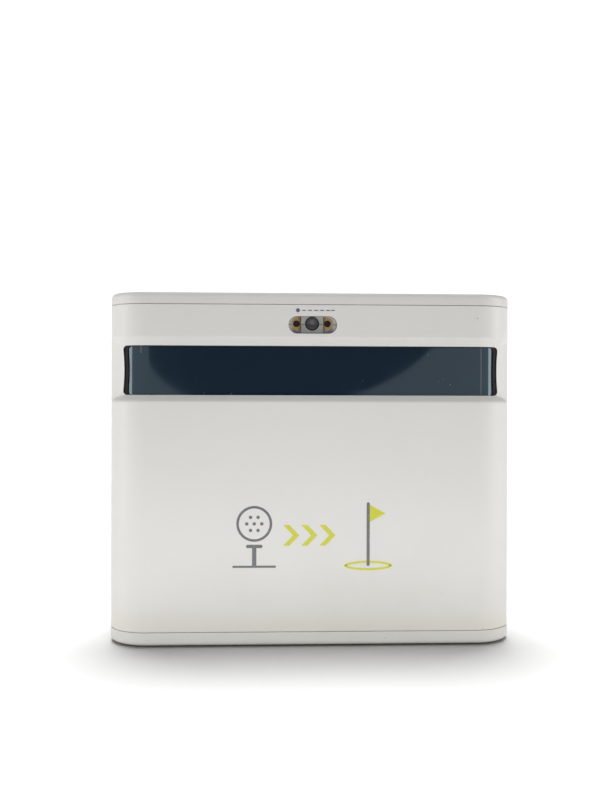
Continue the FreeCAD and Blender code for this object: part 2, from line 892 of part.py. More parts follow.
def panel_pieces():
    button("power_button", "power_place")
    button("mode_button", "mode_place")
    board = centred(("68", "1.6", "20"), "0", "io_board_back - 1.6", "panel_middle - 10")
    board_holes = [
        rod("0.95", "4", (f"{x}", "io_board_back - 3", f"panel_middle + {z}"), ALONG_Y)
        for x in (-31, 31)
        for z in (-7, 7)
    ]
    node("io_board", cut(board, *board_holes))
    switches = []
    for x in ("power_place", "mode_place"):
        body = centred(("6", "2.7", "6"), x, "io_board_back", "panel_middle - 3")
        well = rod("1.95", "4", (x, "io_board_back + 0.4", "panel_middle"), ALONG_Y)
        switches.append(cut(body, well))
    node("push_switches", *switches)
    places = [f"pipe_first + {n} * pipe_pitch" for n in range(3)]
    node(
        "status_leds",
        *[centred(("2", "1.2", "2"), x, "io_board_back", "panel_middle - 1") for x in places],
    )
    pipe_end = "overall_depth / 2 - panel_depth"
    node(
        "light_pipes",
        *[
            fuse(
                rod(
                    "pipe_radius",
                    f"{pipe_end} - io_board_back - 1.4",
                    (x, "io_board_back + 1.4", "panel_middle"),
                    ALONG_Y,
                ),
                rod("pipe_radius + 0.6", "1", (x, "28", "panel_middle"), ALONG_Y),
            )
            for x in places
        ],
    )
    can = centred(
        ("usb_width", "6.5", "usb_height"),
        "usb_place",
        "io_board_back",
        "panel_middle - usb_height / 2",
    )
    mouth = centred(
        ("usb_width - 0.8", "6", "usb_height - 0.8"),
        "usb_place",
        "io_board_back + 1.5",
        "panel_middle - usb_height / 2 + 0.4",
    )
    tongue = centred(
        ("usb_width - 2.4", "4", "0.7"), "usb_place", "io_board_back + 1", "panel_middle - 0.35"
    )
    node("usb_socket", fuse(cut(can, mouth), tongue))


# ---- levelling feet --------------------------------------------------------------------------


def foot(name, x, y):
    """A rubber pad that a thumb wheel pushes down as its stud turns in the insert."""
    rubber = revolved(
        "foot_pad_" + name,
        (
            ("0", "0"),
            ("pad_radius - 0.5", "0"),
            ("pad_radius", "0.5"),
            ("pad_radius", "pad_height"),
            ("2.1", "pad_height"),
            ("2.1", "0.7"),
            ("0", "0.7"),
        ),
    )
    place(rubber, (x, y, "0"))
    body = new_body("foot_screw_" + name)
    for title, radius, low, high in (
        ("Pin", "2", "0.8", "wheel_low"),
        ("Wheel", "wheel_radius", "wheel_low", "wheel_high"),
        ("Stud", "stud_radius", "wheel_high", "stud_top"),
    ):
        sketch = sketch_on(body, title, "XY_Plane", low)
        add_circle(sketch, "0", "0", radius)
        pad(body, sketch, f"{high} - ({low})")
    notch = sketch_on(body, "GripNotch", "XY_Plane", "wheel_low")
    add_circle(notch, "wheel_radius + 0.25", "0", "0.6")
    grip = pocket(body, notch, "wheel_high - wheel_low", up=True)
    pattern = body.newObject("PartDesign::PolarPattern", "Grip")
    pattern.Originals = [grip]
    pattern.Axis = (notch, ["N_Axis"])
    pattern.Angle = 360
    pattern.Occurrences = 30
    body.Tip = pattern
    doc.recompute()
    place(body, (x, y, "0"))


def feet():
    for name, x, y in FEET:
        foot(name, x, y)
    node(
        "foot_inserts",
        *[
            cut(
                rod("foot_insert_radius", "foot_insert_top - pocket_top", (x, y, "pocket_top")),
                rod("stud_radius + thread_clearance", "20", (x, y, "0")),
            )
            for _, x, y in FEET
        ],
    )


# ---- fasteners -------------------------------------------------------------------------------


def turned_screw(at, rotation, length, sign):
    """A screw along Y or Z: the head's underside is at the place given."""
    axis = 1 if rotation is ALONG_Y else 2

    def moved(amount):
        place_now = list(at)
        place_now[axis] = f"{at[axis]} + ({amount})"
        return tuple(place_now)

    shank_low = moved(f"-{length}") if sign > 0 else moved("-0.5")
    head_low = moved("0") if sign > 0 else moved("-1.9")
    drive_low = moved("0.9") if sign > 0 else moved("-2.4")
    shank = rod("screw_radius", f"{length} + 0.5", shank_low, rotation)
    head = rod("screw_head", "1.9", head_low, rotation)
    drive = rod("1.1", "1.5", drive_low, rotation)
    return cut(fuse(shank, head), drive)


def fasteners():
    node(
        "shell_screws",
        *[
            turned_screw((f"{side} * post_place", "overall_depth / 2 - 3", level), ALONG_Y, 22, 1)
            for side in (1, -1)
            for level in ("post_low", "post_high")
        ],
    )
    node(
        "base_screws",
        *[
            turned_screw(
                (f"{side} * base_screw_side", f"{end} * base_screw_depth", "foot_gap + 2.2"),
                ALONG_Z,
                12,
                -1,
            )
            for side in (1, -1)
            for end in (1, -1)
        ],
    )
    node(
        "chassis_screws",
        *[
            turned_screw((x, y, "chassis_low + chassis_thickness"), ALONG_Z, 6, 1)
            for x, y in CHASSIS_FEET
        ],
    )
    node(
        "board_screws",
        *[
            turned_screw((f"{x}", "main_board_front + board_thickness", f"{z}"), ALONG_Y, 4, 1)
            for x in (-48, 48)
            for z in (26, 88)
        ],
    )


# ---- chassis, boards, power ------------------------------------------------------------------


def chassis():
    """Folded sheet: an upright plate with two feet that screw down to the base."""
    plate = centred(
        ("2 * chassis_half", "chassis_thickness", "chassis_top - chassis_low"),
        "0",
        "0",
        "chassis_low",
    )
    tabs = [
        centred(("14", "14", "chassis_thickness"), x, "0", "chassis_low") for x, _ in CHASSIS_FEET
    ]
    holes = [rod("screw_radius + 0.2", "10", (x, y, "5")) for x, y in CHASSIS_FEET]
    clear = [
        centred(("18", "6", "4"), "0", "-2", "94"),  # the camera's ribbon
        centred(("8", "6", "5"), "0", "-2", "131"),  # the laser's leads
        centred(("40", "6", "6"), "0", "-2", "chassis_low - 1"),
    ]
    clear += [
        centred(("20", "6", "12"), f"{side} * (chassis_half + 2)", "-2", level)
        for side in (1, -1)
        for level in ("post_low - 6", "post_high - 6")
    ]
    node("chassis", cut(fuse(plate, *tabs), *holes, *clear))


def main_electronics():
    spots = [(x, z) for x in ("-48", "48") for z in ("26", "88")]
    back = "main_board_front + board_thickness"
    node(
        "board_standoffs",
        *[
            cut(
                rod(
                    "2.5",
                    "main_board_front - chassis_thickness",
                    (x, "chassis_thickness", z),
                    ALONG_Y,
                ),
                rod("screw_radius + tapped_clearance", "9", (x, "0", z), ALONG_Y),
            )
            for x, z in spots
        ],
    )
    board = centred(
        ("2 * main_board_half", "board_thickness", "main_board_height"),
        "0",
        "main_board_front",
        "main_board_low",
    )
    node(
        "main_board",
        cut(board, *[rod("screw_radius + 0.1", "4", (x, "6.5", z), ALONG_Y) for x, z in spots]),
    )
    node("processor", centred(("17", "1.5", "17"), "10", back, "51.5"))
    fins = [
        centred(("2", "6", "24"), f"{x}", f"{back} + 3.5", "48") for x in (-1, 4, 9, 14, 19)
    ]
    node(
        "heat_spreader", fuse(centred(("24", "2", "24"), "9", f"{back} + 1.5", "48"), *fins)
    )
    node(
        "memory_chips", *[centred(("9", "1.1", "12"), f"{x}", back, "54") for x in (-14, -26)]
    )
    node("wifi_module", centred(("18", "2.4", "24"), "-36", back, "66"))
    node(
        "wifi_antenna",
        centred(("40", "0.3", "9"), "-42", "overall_depth / 2 - wall - 0.35", "123"),
    )
    node("tilt_sensor", centred(("4", "1", "4"), "32", back, "70"))
    node(
        "flash_capacitors",
        *[
            rod("capacitor_radius", "capacitor_length", (f"{x}", back, "34"), ALONG_Y)
            for x in (8, 20, 32, 44)
        ],
    )


def battery():
    """Two cells in a cradle on the front of the chassis, held by a strap."""
    left = "-cell_length / 2"
    levels = ("cell_low", "cell_low + cell_pitch")
    node(
        "battery_cells",
        *[
            fuse(
                rod("cell_radius", "cell_length - 1", (left, "-cell_depth", z), ALONG_X),
                rod("2.6", "1.4", ("cell_length / 2 - 1.2", "-cell_depth", z), ALONG_X),
            )
            for z in levels
        ],
    )
    stack = "2 * cell_radius + cell_pitch"
    foot_of_stack = "cell_low - cell_radius"
    cradle = centred(("cell_length + 6", "8", f"{stack} + 2"), "0", "-8", f"{foot_of_stack} - 1")
    seats = [
        rod("cell_radius + 0.2", "cell_length + 1", (f"{left} - 0.5", "-cell_depth", z), ALONG_X)
        for z in levels
    ]
    node("battery_tray", cut(cradle, *seats))
    outer = centred(("10", "23.4", f"{stack} + 4"), "0", "-23.4", f"{foot_of_stack} - 2")
    inner = centred(("12", "24", f"{stack} + 2.2"), "0", "-22.6", f"{foot_of_stack} - 1.1")
    node("battery_strap", cut(outer, inner))


def camera():
    """Sensor, lens and shroud, on the chassis behind the middle of the window."""
    board_back = "board_thickness - camera_board_front"
    spots = [(x, z) for x in ("-15", "15") for z in ("104", "125")]
    node(
        "camera_standoffs",
        *[rod("1.8", f"-({board_back})", (x, board_back, z), ALONG_Y) for x, z in spots],
    )
    node(
        "camera_board",
        centred(("36", "board_thickness", "27"), "0", "-camera_board_front", "axis_height - 13.5"),
    )
    sensor_front = "-camera_board_front - 1.3"
    node("image_sensor", centred(("11", "1.3", "9"), "0", sensor_front, "axis_height - 4.5"))
    holder = centred(
        ("2 * mount_half", "mount_front - camera_board_front", "2 * mount_half"),
        "0",
        "-mount_front",
        "axis_height - mount_half",
    )
    chamber = centred(("14", "3", "12"), "0", "-camera_board_front - 3", "axis_height - 6")
    thread = rod("lens_thread_radius", "9", ("0", "-20", "axis_height"), ALONG_Y)
    gate = rod("5", "12", ("0", "-mount_front", "axis_height"), ALONG_Y)
    gate_length = centred(("20", "7", "30"), "0", "-mount_front", "100")
    node("lens_mount", cut(holder, chamber, thread, common(gate, gate_length)))
    front_part = rod(
        "lens_barrel_radius", "lens_front - mount_front", ("0", "-lens_front", "axis_height"), ALONG_Y
    )
    thread_part = rod("lens_thread_radius", "1", ("0", "-mount_front", "axis_height"), ALONG_Y)
    bore = rod("5", "20", ("0", "-lens_front - 1", "axis_height"), ALONG_Y)
    front_seat = rod("lens_glass_radius", "3.4", ("0", "-lens_front - 1", "axis_height"), ALONG_Y)
    node("lens_barrel", cut(fuse(front_part, thread_part), bore, front_seat))
    node(
        "lens_front_element",
        rod("lens_glass_radius", "1.8", ("0", "-lens_front + 0.6", "axis_height"), ALONG_Y),
    )
    node("lens_rear_element", rod("5", "1.6", ("0", "-14", "axis_height"), ALONG_Y))
    side = "2 * shroud_half"
    tube = centred((side, "shroud_front - 6", "25"), "0", "-shroud_front", "axis_height - 12.5")
    hollow = centred(
        (f"{side} - 2 * shroud_wall", "40", "25 - 2 * shroud_wall"),
        "0",
        "-40",
        "axis_height - 12.5 + shroud_wall",
    )
    node("camera_shroud", cut(tube, hollow))


def flash():
    """Infrared lamps on both sides of the camera, each board with its own finned block."""
    front = "-flash_board_front"
    back = "board_thickness - flash_board_front"
    boards, lamps, blocks = [], [], []
    for side in (1, -1):
        middle = f"{side} * (flash_near + flash_width / 2)"
        boards.append(
            centred(("flash_width", "board_thickness", "21"), middle, front, "axis_height - 10.5")
        )
        for column in range(5):
            x = f"{side} * (flash_near + 4 + {column} * (flash_width - 8) / 4)"
            lamps += [
                centred(("3.5", "1.2", "3.5"), x, f"{front} - 1.2", f"axis_height + {z}")
                for z in (-7, 3.5)
            ]
        base = centred(("flash_width - 2", "3", "21"), middle, back, "axis_height - 10.5")
        fins = [
            centred(
                ("flash_width - 2", f"-({back}) - 3", "fin_thickness"),
                middle,
                f"{back} + 3",
                f"axis_height - 10.5 + {n} * fin_pitch",
            )
            for n in range(6)
        ]
        blocks.append(fuse(base, *fins))
    node("flash_boards", *boards)
    node("flash_leds", *lamps)
    node("flash_heatsinks", *blocks)


def wiring():
    """Leads and flat cables, held all the way inside the casing."""

    def mirrored(points):
        return [(-x, y, z) for x, y, z in points]

    cell_end = -SIZES["cell_length"] / 2
    node(
        "battery_leads",
        *[
            shape_node(
                "wire",
                lead(
                    [
                        (cell_end, -13, z),
                        (-71, -13, z),
                        (-71, 12, z),
                        (-SIZES["main_board_half"], 12, z),
                    ],
                    5,
                    0.9,
                ),
            )
            for z in (28, 47.2)
        ],
    )
    right = [(67.9, -17.2, 106), (74, -17.2, 106), (74, -17.2, 84), (74, 8.8, 84), (52.2, 8.8, 84)]
    node(
        "flash_leads",
        *[shape_node("wire", lead(points, 3, 0.6)) for points in (right, mirrored(right))],
    )
    shift, height = SIZES["laser_shift"], 133.4
    node(
        "laser_leads",
        *[
            shape_node(
                "wire",
                lead(
                    [
                        (shift + offset, -7.4, height),
                        (shift + offset, 5, height),
                        (shift + offset, 5, 104),
                        (shift + offset, 8.8, 99),
                        (shift + offset, 8.8, 92),
                    ],
                    2,
                    0.5,
                ),
            )
            for offset in (-0.9, 0.9)
        ],
    )
    node(
        "camera_ribbon",
        fuse(
            centred(("12", "0.3", "7"), "0", "-2.4", "95"),
            centred(("12", "9.7", "0.3"), "0", "-2.4", "95"),
            centred(("12", "0.3", "7"), "0", "7.3", "88.3"),
            centred(("12", "0.7", "0.3"), "0", "7.3", "88.3"),
        ),
    )
    node(
        "io_ribbon",
        fuse(
            centred(("12", "0.3", "18"), "20", "22.1", "84"),
            centred(("12", "12.8", "0.3"), "20", "9.6", "84"),
        ),
    )


# ---- assembly --------------------------------------------------------------------------------

front_shell()
rear_shell()
top_cap()
bottom_cap()
window_pieces()
laser_pieces()
panel_pieces()
feet()
fasteners()
chassis()
main_electronics()
battery()
camera()
flash()
wiring()

doc.recompute()
for obj in doc.Objects:
    if {"Invalid", "Error"} & set(obj.State):
        raise RuntimeError(f"{obj.Label} ({obj.Name}) failed: {obj.State}")

os.makedirs("parts", exist_ok=True)
for piece in NODES:
    shape = piece.Shape
    if shape.isNull() or not shape.isValid() or not shape.Volume > 0:
        raise RuntimeError(f"{piece.Label} has no valid solid")
    shape.exportStep(os.path.join("parts", piece.Label + ".step"))
    print(f"{piece.Label}: {len(shape.Solids)} solid(s), {shape.Volume / 1000:.2f} cm3")
print(f"{len(NODES)} nodes")
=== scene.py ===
import math

import bpy
from mathutils import Matrix, Vector


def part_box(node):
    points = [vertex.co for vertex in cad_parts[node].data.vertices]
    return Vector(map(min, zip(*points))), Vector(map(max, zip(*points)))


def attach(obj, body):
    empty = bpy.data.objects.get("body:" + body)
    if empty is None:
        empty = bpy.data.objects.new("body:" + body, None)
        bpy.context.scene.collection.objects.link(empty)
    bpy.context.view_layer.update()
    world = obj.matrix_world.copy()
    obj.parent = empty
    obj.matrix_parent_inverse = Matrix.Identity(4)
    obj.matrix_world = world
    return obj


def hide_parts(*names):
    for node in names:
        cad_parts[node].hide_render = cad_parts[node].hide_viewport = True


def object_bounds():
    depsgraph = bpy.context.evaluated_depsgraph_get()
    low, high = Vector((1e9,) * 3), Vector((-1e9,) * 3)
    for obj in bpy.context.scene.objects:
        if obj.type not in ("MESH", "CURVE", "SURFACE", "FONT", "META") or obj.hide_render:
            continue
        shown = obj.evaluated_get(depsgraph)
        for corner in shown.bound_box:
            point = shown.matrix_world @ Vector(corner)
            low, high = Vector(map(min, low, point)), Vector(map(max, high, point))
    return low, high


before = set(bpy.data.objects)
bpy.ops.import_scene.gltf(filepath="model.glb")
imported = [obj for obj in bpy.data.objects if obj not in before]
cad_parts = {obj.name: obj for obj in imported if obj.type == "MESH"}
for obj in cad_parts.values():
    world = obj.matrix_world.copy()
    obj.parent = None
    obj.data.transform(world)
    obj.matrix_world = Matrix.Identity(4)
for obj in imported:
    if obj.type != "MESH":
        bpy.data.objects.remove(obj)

cad_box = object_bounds()


# ---- Camera ----
# A phone held level with the window, about an arm's length away and a little left of the
# middle, turned slightly towards the case.

MM = 0.001
camera_place = Vector((-19.5, -433.55, 105.5)) * MM
camera_turn = math.radians(2.5)
camera_roll = math.radians(0.16)
level = math.radians(90)  # from looking down to looking straight ahead
sensor_width = 36.0
focal_length = 43.74
lens_shift = -0.01
nearest_seen = 10.0 * MM

camera_data = bpy.data.cameras.new("camera")
camera_data.sensor_width = sensor_width
camera_data.lens = focal_length
camera_data.shift_y = lens_shift
camera_data.clip_start = nearest_seen
camera = bpy.data.objects.new("camera", camera_data)
bpy.context.scene.collection.objects.link(camera)
camera.matrix_world = (
    Matrix.Translation(camera_place)
    @ Matrix.Rotation(-camera_turn, 4, "Z")
    @ Matrix.Rotation(level, 4, "X")
    @ Matrix.Rotation(camera_roll, 4, "Z")
)
bpy.context.scene.camera = camera
bpy.context.scene.view_settings.view_transform = "Standard"


# ---- Table and studio light ----
# A matt white table, two soft boxes at the sides, a low strip lamp in front, a broad lamp
# above and behind, and a white room all round that is dimmer towards the ceiling.

def add_node(tree, kind, inputs=None, **settings):
    """A shader node, with its settings, and each input either a value or another node's output."""
    made = tree.nodes.new("ShaderNode" + kind)
    for name, value in settings.items():
        setattr(made, name, value)
    for key, value in (inputs or {}).items():
        if isinstance(value, bpy.types.NodeSocket):
            tree.links.new(value, made.inputs[key])
        else:
            made.inputs[key].default_value = value
    return made


def new_material(name, **plain):
    """A material that holds only its shader. plain gives the shader's even values, by socket name."""
    material = bpy.data.materials.new(name)
    material.use_nodes = True
    tree = material.node_tree
    tree.nodes.clear()
    shader = add_node(tree, "BsdfPrincipled")
    for key, value in plain.items():
        shader.inputs[key.replace("_", " ")].default_value = value
    add_node(tree, "OutputMaterial", {"Surface": shader.outputs["BSDF"]})
    return material, tree, shader


def object_place(tree):
    """The place on the piece, in metres."""
    return add_node(tree, "TexCoord").outputs["Object"]


def colour_between(tree, amount, first, second):
    """first where amount is 0, second where it is 1."""
    mixer = add_node(tree, "Mix", data_type="RGBA", clamp_factor=True)
    for socket, value in ((mixer.inputs[0], amount), (mixer.inputs[6], first), (mixer.inputs[7], second)):
        if isinstance(value, bpy.types.NodeSocket):
            tree.links.new(value, socket)
        else:
            socket.default_value = value
    return mixer.outputs[2]


def number(tree, how, first, second=0.0):
    """Two numbers put together, such as MULTIPLY or ADD."""
    return add_node(tree, "Math", {0: first, 1: second}, operation=how).outputs[0]


def stepped(tree, value, low, high, to_low=0.0, to_high=1.0):
    """value taken smoothly from low..high to to_low..to_high."""
    return add_node(
        tree, "MapRange",
        {"Value": value, "From Min": low, "From Max": high, "To Min": to_low, "To Max": to_high},
        interpolation_type="SMOOTHSTEP",
    ).outputs["Result"]


def noise(tree, place, scale, detail=2.0, roughness=0.5):
    """Cloudy values from 0 to 1, scale of them to the metre."""
    return add_node(
        tree, "TexNoise",
        {"Vector": place, "Scale": scale, "Detail": detail, "Roughness": roughness},
    ).outputs["Fac"]


def finish_with(shader, tree, height, strength, distance):
    """Gives the shader a fine relief."""
    relief = add_node(tree, "Bump", {"Height": height, "Strength": strength, "Distance": distance})
    tree.links.new(relief.outputs["Normal"], shader.inputs["Normal"])


table_size = 8.0
bpy.ops.object.select_all(action="DESELECT")
bpy.ops.mesh.primitive_plane_add(size=table_size, location=(0.0, 0.0, cad_box[0].z))
table = bpy.context.object
table.name = "table"

table_seen = (0.93, 0.93, 0.93, 1)
table_bounce = (0.77, 0.77, 0.77, 1)  # what it throws back on the case, as matt paper does
table_paint, tree, shader = new_material("table_white", Roughness=0.75)
seen = add_node(tree, "LightPath").outputs["Is Camera Ray"]
tone = colour_between(tree, seen, table_bounce, table_seen)
tree.links.new(tone, shader.inputs["Base Color"])
table.data.materials.append(table_paint)

wall_light = 0.96
ceiling_light = 0.16
wall_top = 0.03  # how steeply up the walls begin to dim, and where the ceiling begins
ceiling_edge = 0.36
backdrop_light = 1.1
room = bpy.data.worlds.new("white_room")
room.use_nodes = True
bpy.context.scene.world = room
tree = room.node_tree
tree.nodes.clear()
direction = add_node(tree, "SeparateXYZ", {0: add_node(tree, "TexCoord").outputs["Generated"]})
rise = stepped(tree, direction.outputs["Z"], wall_top, ceiling_edge, wall_light, ceiling_light)
seen = add_node(tree, "LightPath").outputs["Is Camera Ray"]
backdrop = number(tree, "MAXIMUM", rise, number(tree, "MULTIPLY", seen, backdrop_light))
glow = add_node(tree, "Background", {"Color": (1, 1, 1, 1), "Strength": backdrop})
add_node(tree, "OutputWorld", {"Surface": glow.outputs[0]})

# The lamps beside and in front of the case are flagged off the table.
off_table = bpy.data.collections.new("off_table")
off_table.objects.link(table)
off_table.collection_objects[0].light_linking.link_state = "EXCLUDE"

soft_box_width = 0.17
soft_box_height = 1.10
soft_box_power = 2.75
soft_box_place = Vector((0.67, -0.15, 0.34))
soft_box_target = Vector((0.0, -0.02, 0.08))
for side in (-1, 1):
    lamp = bpy.data.lights.new("soft_box", "AREA")
    lamp.shape = "RECTANGLE"
    lamp.size = soft_box_width
    lamp.size_y = soft_box_height
    lamp.energy = soft_box_power
    box_lamp = bpy.data.objects.new("soft_box", lamp)
    bpy.context.scene.collection.objects.link(box_lamp)
    box_lamp.location = (side * soft_box_place.x, soft_box_place.y, soft_box_place.z)
    box_lamp.visible_camera = False
    aim = soft_box_target - box_lamp.location
    box_lamp.rotation_euler = aim.to_track_quat("-Z", "Y").to_euler()
    box_lamp.light_linking.receiver_collection = off_table

# The low strip lamp lifts the foot of the case.
strip_width = 0.34
strip_height = 0.025
strip_power = 0.090
strip_place = (0.0, -0.140, 0.018)
low_strip = bpy.data.lights.new("low_strip", "AREA")
low_strip.shape = "RECTANGLE"
low_strip.size = strip_width
low_strip.size_y = strip_height
low_strip.energy = strip_power
low_lamp = bpy.data.objects.new("low_strip", low_strip)
bpy.context.scene.collection.objects.link(low_lamp)
low_lamp.location = strip_place
low_lamp.rotation_euler = (level, 0.0, 0.0)
low_lamp.visible_camera = False
low_lamp.light_linking.receiver_collection = off_table

# The lamp above and behind is flagged off the case, so that most of it reaches only the table.
only_table = bpy.data.collections.new("table_only")
only_table.objects.link(table)
overhead_spread = math.radians(32)
overhead_lean = math.radians(-16)  # from behind, so that the shadow falls towards the front
for name, power, reach in (("overhead", 0.74, None), ("overhead_flagged", 2.80, only_table)):
    overhead = bpy.data.lights.new(name, "SUN")
    overhead.energy = power
    overhead.angle = overhead_spread
    overhead_lamp = bpy.data.objects.new(name, overhead)
    bpy.context.scene.collection.objects.link(overhead_lamp)
    overhead_lamp.rotation_euler = (overhead_lean, 0.0, 0.0)
    if reach:
        overhead_lamp.light_linking.receiver_collection = reach

# The dark cloth behind the camera, hung aslant, which only the gloss of the window picks up.
cloth_centre = Vector((0.0098, -0.500, 0.1641))
cloth_half_size = (0.1385, 0.0715, 1.0)
cloth_slant = math.radians(-9.75)
bpy.ops.object.select_all(action="DESELECT")
bpy.ops.mesh.primitive_circle_add(
    vertices=96, radius=1.0, fill_type="NGON", location=cloth_centre, rotation=(level, cloth_slant, 0)
)
cloth = bpy.context.object
cloth.name = "dark_cloth"
cloth.scale = cloth_half_size
cloth.visible_camera = False
cloth.visible_diffuse = False
cloth.visible_shadow = False
cloth.visible_transmission = False
cloth_black, tree, shader = new_material("cloth_black", Roughness=1.0)
weave = noise(tree, object_place(tree), 60.0)
tree.links.new(
    colour_between(tree, weave, (0.004, 0.004, 0.005, 1), (0.012, 0.012, 0.013, 1)),
    shader.inputs["Base Color"],
)
cloth.data.materials.append(cloth_black)


# ---- Case shells ----
# The front and rear halves of the case, injection moulded in off-white ABS with a fine
# spark-eroded texture. They meet at a joint line round the sides and are screwed from behind.

def new_group(name, inputs, outputs):
    """A shader node group. inputs and outputs list (name, kind, value)."""
    group = bpy.data.node_groups.new(name, "ShaderNodeTree")
    for socket_name, kind, value in inputs:
        socket = group.interface.new_socket(socket_name, in_out="INPUT", socket_type="NodeSocket" + kind)
        socket.default_value = value
    for socket_name, kind in outputs:
        group.interface.new_socket(socket_name, in_out="OUTPUT", socket_type="NodeSocket" + kind)
    entry = group.nodes.new("NodeGroupInput")
    leave = group.nodes.new("NodeGroupOutput")
    return group, entry, leave


def use_group(tree, group, **values):
    """Places a group in a material, with this material's own values."""
    made = tree.nodes.new("ShaderNodeGroup")
    made.node_tree = group
    for key, value in values.items():
        socket = made.inputs[key.replace("_", " ")]
        if isinstance(value, bpy.types.NodeSocket):
            tree.links.new(value, socket)
        else:
            socket.default_value = value
    return made


def paint(material, *names):
    """Puts a material on CAD nodes."""
    for name in names:
        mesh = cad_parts[name].data
        mesh.materials.clear()
        mesh.materials.append(material)


# The fine grain of a textured mould, with a slower drift in how matt it is.
moulded_grain, entry, leave = new_group(
    "moulded_grain",
    [("Grain", "Float", 2600.0), ("Drift", "Float", 22.0)],
    [("Height", "Float"), ("Matt", "Float")],
)
place = object_place(moulded_grain)
pits = add_node(
    moulded_grain, "TexNoise",
    {"Vector": place, "Scale": entry.outputs["Grain"], "Detail": 1.5, "Roughness": 0.55},
)
slow = add_node(
    moulded_grain, "TexNoise",
    {"Vector": place, "Scale": entry.outputs["Drift"], "Detail": 3.0, "Roughness": 0.6},
)
moulded_grain.links.new(pits.outputs["Fac"], leave.inputs["Height"])
moulded_grain.links.new(slow.outputs["Fac"], leave.inputs["Matt"])

# Edges that hands and bags have rubbed: 1 on an outer edge, 0 on the flats.
rubbed_edges, entry, leave = new_group(
    "rubbed_edges",
    [("Width", "Float", 0.0008), ("Breakup", "Float", 260.0)],
    [("Mask", "Float")],
)
rounded = add_node(rubbed_edges, "Bevel", {"Radius": entry.outputs["Width"]}, samples=4)
flat = add_node(rubbed_edges, "NewGeometry").outputs["Normal"]
turned = add_node(
    rubbed_edges, "VectorMath", {0: rounded.outputs["Normal"], 1: flat}, operation="DOT_PRODUCT"
).outputs["Value"]
edge = stepped(rubbed_edges, turned, 0.992, 0.90)
worn = stepped(
    rubbed_edges,
    add_node(
        rubbed_edges, "TexNoise",
        {"Vector": object_place(rubbed_edges), "Scale": entry.outputs["Breakup"], "Detail": 3.0},
    ).outputs["Fac"],
    0.40, 0.62,
)
rubbed_edges.links.new(number(rubbed_edges, "MULTIPLY", edge, worn), leave.inputs["Mask"])

# Dirt from use: soft hand marks, and small dark specks where something has touched it.
handling_dirt, entry, leave = new_group(
    "handling_dirt",
    [
        ("Color", "Color", (0.8, 0.8, 0.8, 1)),
        ("Dirt Color", "Color", (0.42, 0.37, 0.30, 1)),
        ("Smudge", "Float", 0.05),
        ("Specks", "Float", 0.5),
    ],
    [("Color", "Color"), ("Mask", "Float")],
)
place = object_place(handling_dirt)
hands = stepped(handling_dirt, noise(handling_dirt, place, 17.0, 5.0, 0.62), 0.50, 0.76)
smudge = number(handling_dirt, "MULTIPLY", hands, entry.outputs["Smudge"])
cells = add_node(handling_dirt, "TexVoronoi", {"Vector": place, "Scale": 95.0, "Randomness": 1.0})
dot = stepped(handling_dirt, cells.outputs["Distance"], 0.055, 0.030)
chance = add_node(handling_dirt, "SeparateColor", {0: cells.outputs["Color"]}).outputs[0]
rare = number(handling_dirt, "LESS_THAN", chance, 0.035)
speck = number(
    handling_dirt, "MULTIPLY",
    number(handling_dirt, "MULTIPLY", dot, rare), entry.outputs["Specks"],
)
mask = number(handling_dirt, "MAXIMUM", smudge, speck)
handling_dirt.links.new(
    colour_between(handling_dirt, mask, entry.outputs["Color"], entry.outputs["Dirt Color"]),
    leave.inputs["Color"],
)
handling_dirt.links.new(mask, leave.inputs["Mask"])


def stain(tree, place, where, radius):
    """1 inside a small round mark centred at where, in mm."""
    away = add_node(
        tree, "VectorMath", {0: place, 1: Vector(where) * MM}, operation="DISTANCE"
    ).outputs["Value"]
    uneven = number(tree, "SUBTRACT", noise(tree, place, 900.0, 3.0), 0.5)
    ragged = number(tree, "MULTIPLY", uneven, 0.9 * radius * MM)
    return stepped(tree, number(tree, "ADD", away, ragged), radius * MM, 0.45 * radius * MM)


def moulded_plastic(name, colour, aged, stains, stain_colour, roughness=0.42, foot_tint=0.0):
    """Off-white moulded plastic, a little yellowed in patches, rubbed at its edges and handled."""
    material, tree, shader = new_material(name, IOR=1.47, Coat_Roughness=0.3)
    place = object_place(tree)
    patch = stepped(tree, noise(tree, place, 7.0, 3.0, 0.5), 0.35, 0.70)
    body = colour_between(tree, patch, colour, aged)
    rub = use_group(tree, rubbed_edges, Width=0.0011, Breakup=210.0).outputs["Mask"]
    polished = tuple(min(1.0, c * 1.07) for c in colour[:3]) + (1,)
    body = colour_between(tree, number(tree, "MULTIPLY", rub, 0.6), body, polished)
    dirt = use_group(
        tree, handling_dirt, Color=body, Dirt_Color=(0.50, 0.46, 0.39, 1), Smudge=0.10, Specks=0.55
    )
    marks = 0.0
    for where, radius, strength in stains:
        mark = number(tree, "MULTIPLY", stain(tree, place, where, radius), strength)
        marks = number(tree, "MAXIMUM", mark, marks)
    up = add_node(tree, "SeparateXYZ", {0: place}).outputs["Z"]
    low = stepped(tree, number(tree, "ADD", up, number(tree, "MULTIPLY", patch, 0.004)), 0.019, 0.009)
    yellowed = number(tree, "MULTIPLY", low, foot_tint)
    body = colour_between(tree, yellowed, dirt.outputs["Color"], (0.680, 0.560, 0.430, 1))
    body = colour_between(tree, marks, body, stain_colour)
    tree.links.new(body, shader.inputs["Base Color"])
    grain = use_group(tree, moulded_grain, Grain=2600.0, Drift=22.0)
    matt = stepped(tree, grain.outputs["Matt"], 0.3, 0.7, roughness - 0.04, roughness + 0.05)
    matt = number(tree, "ADD", matt, number(tree, "MULTIPLY", dirt.outputs["Mask"], 0.2))
    matt = number(tree, "SUBTRACT", matt, number(tree, "MULTIPLY", rub, 0.08))
    tree.links.new(matt, shader.inputs["Roughness"])
    finish_with(shader, tree, grain.outputs["Height"], 0.22, 0.00003)
    return material


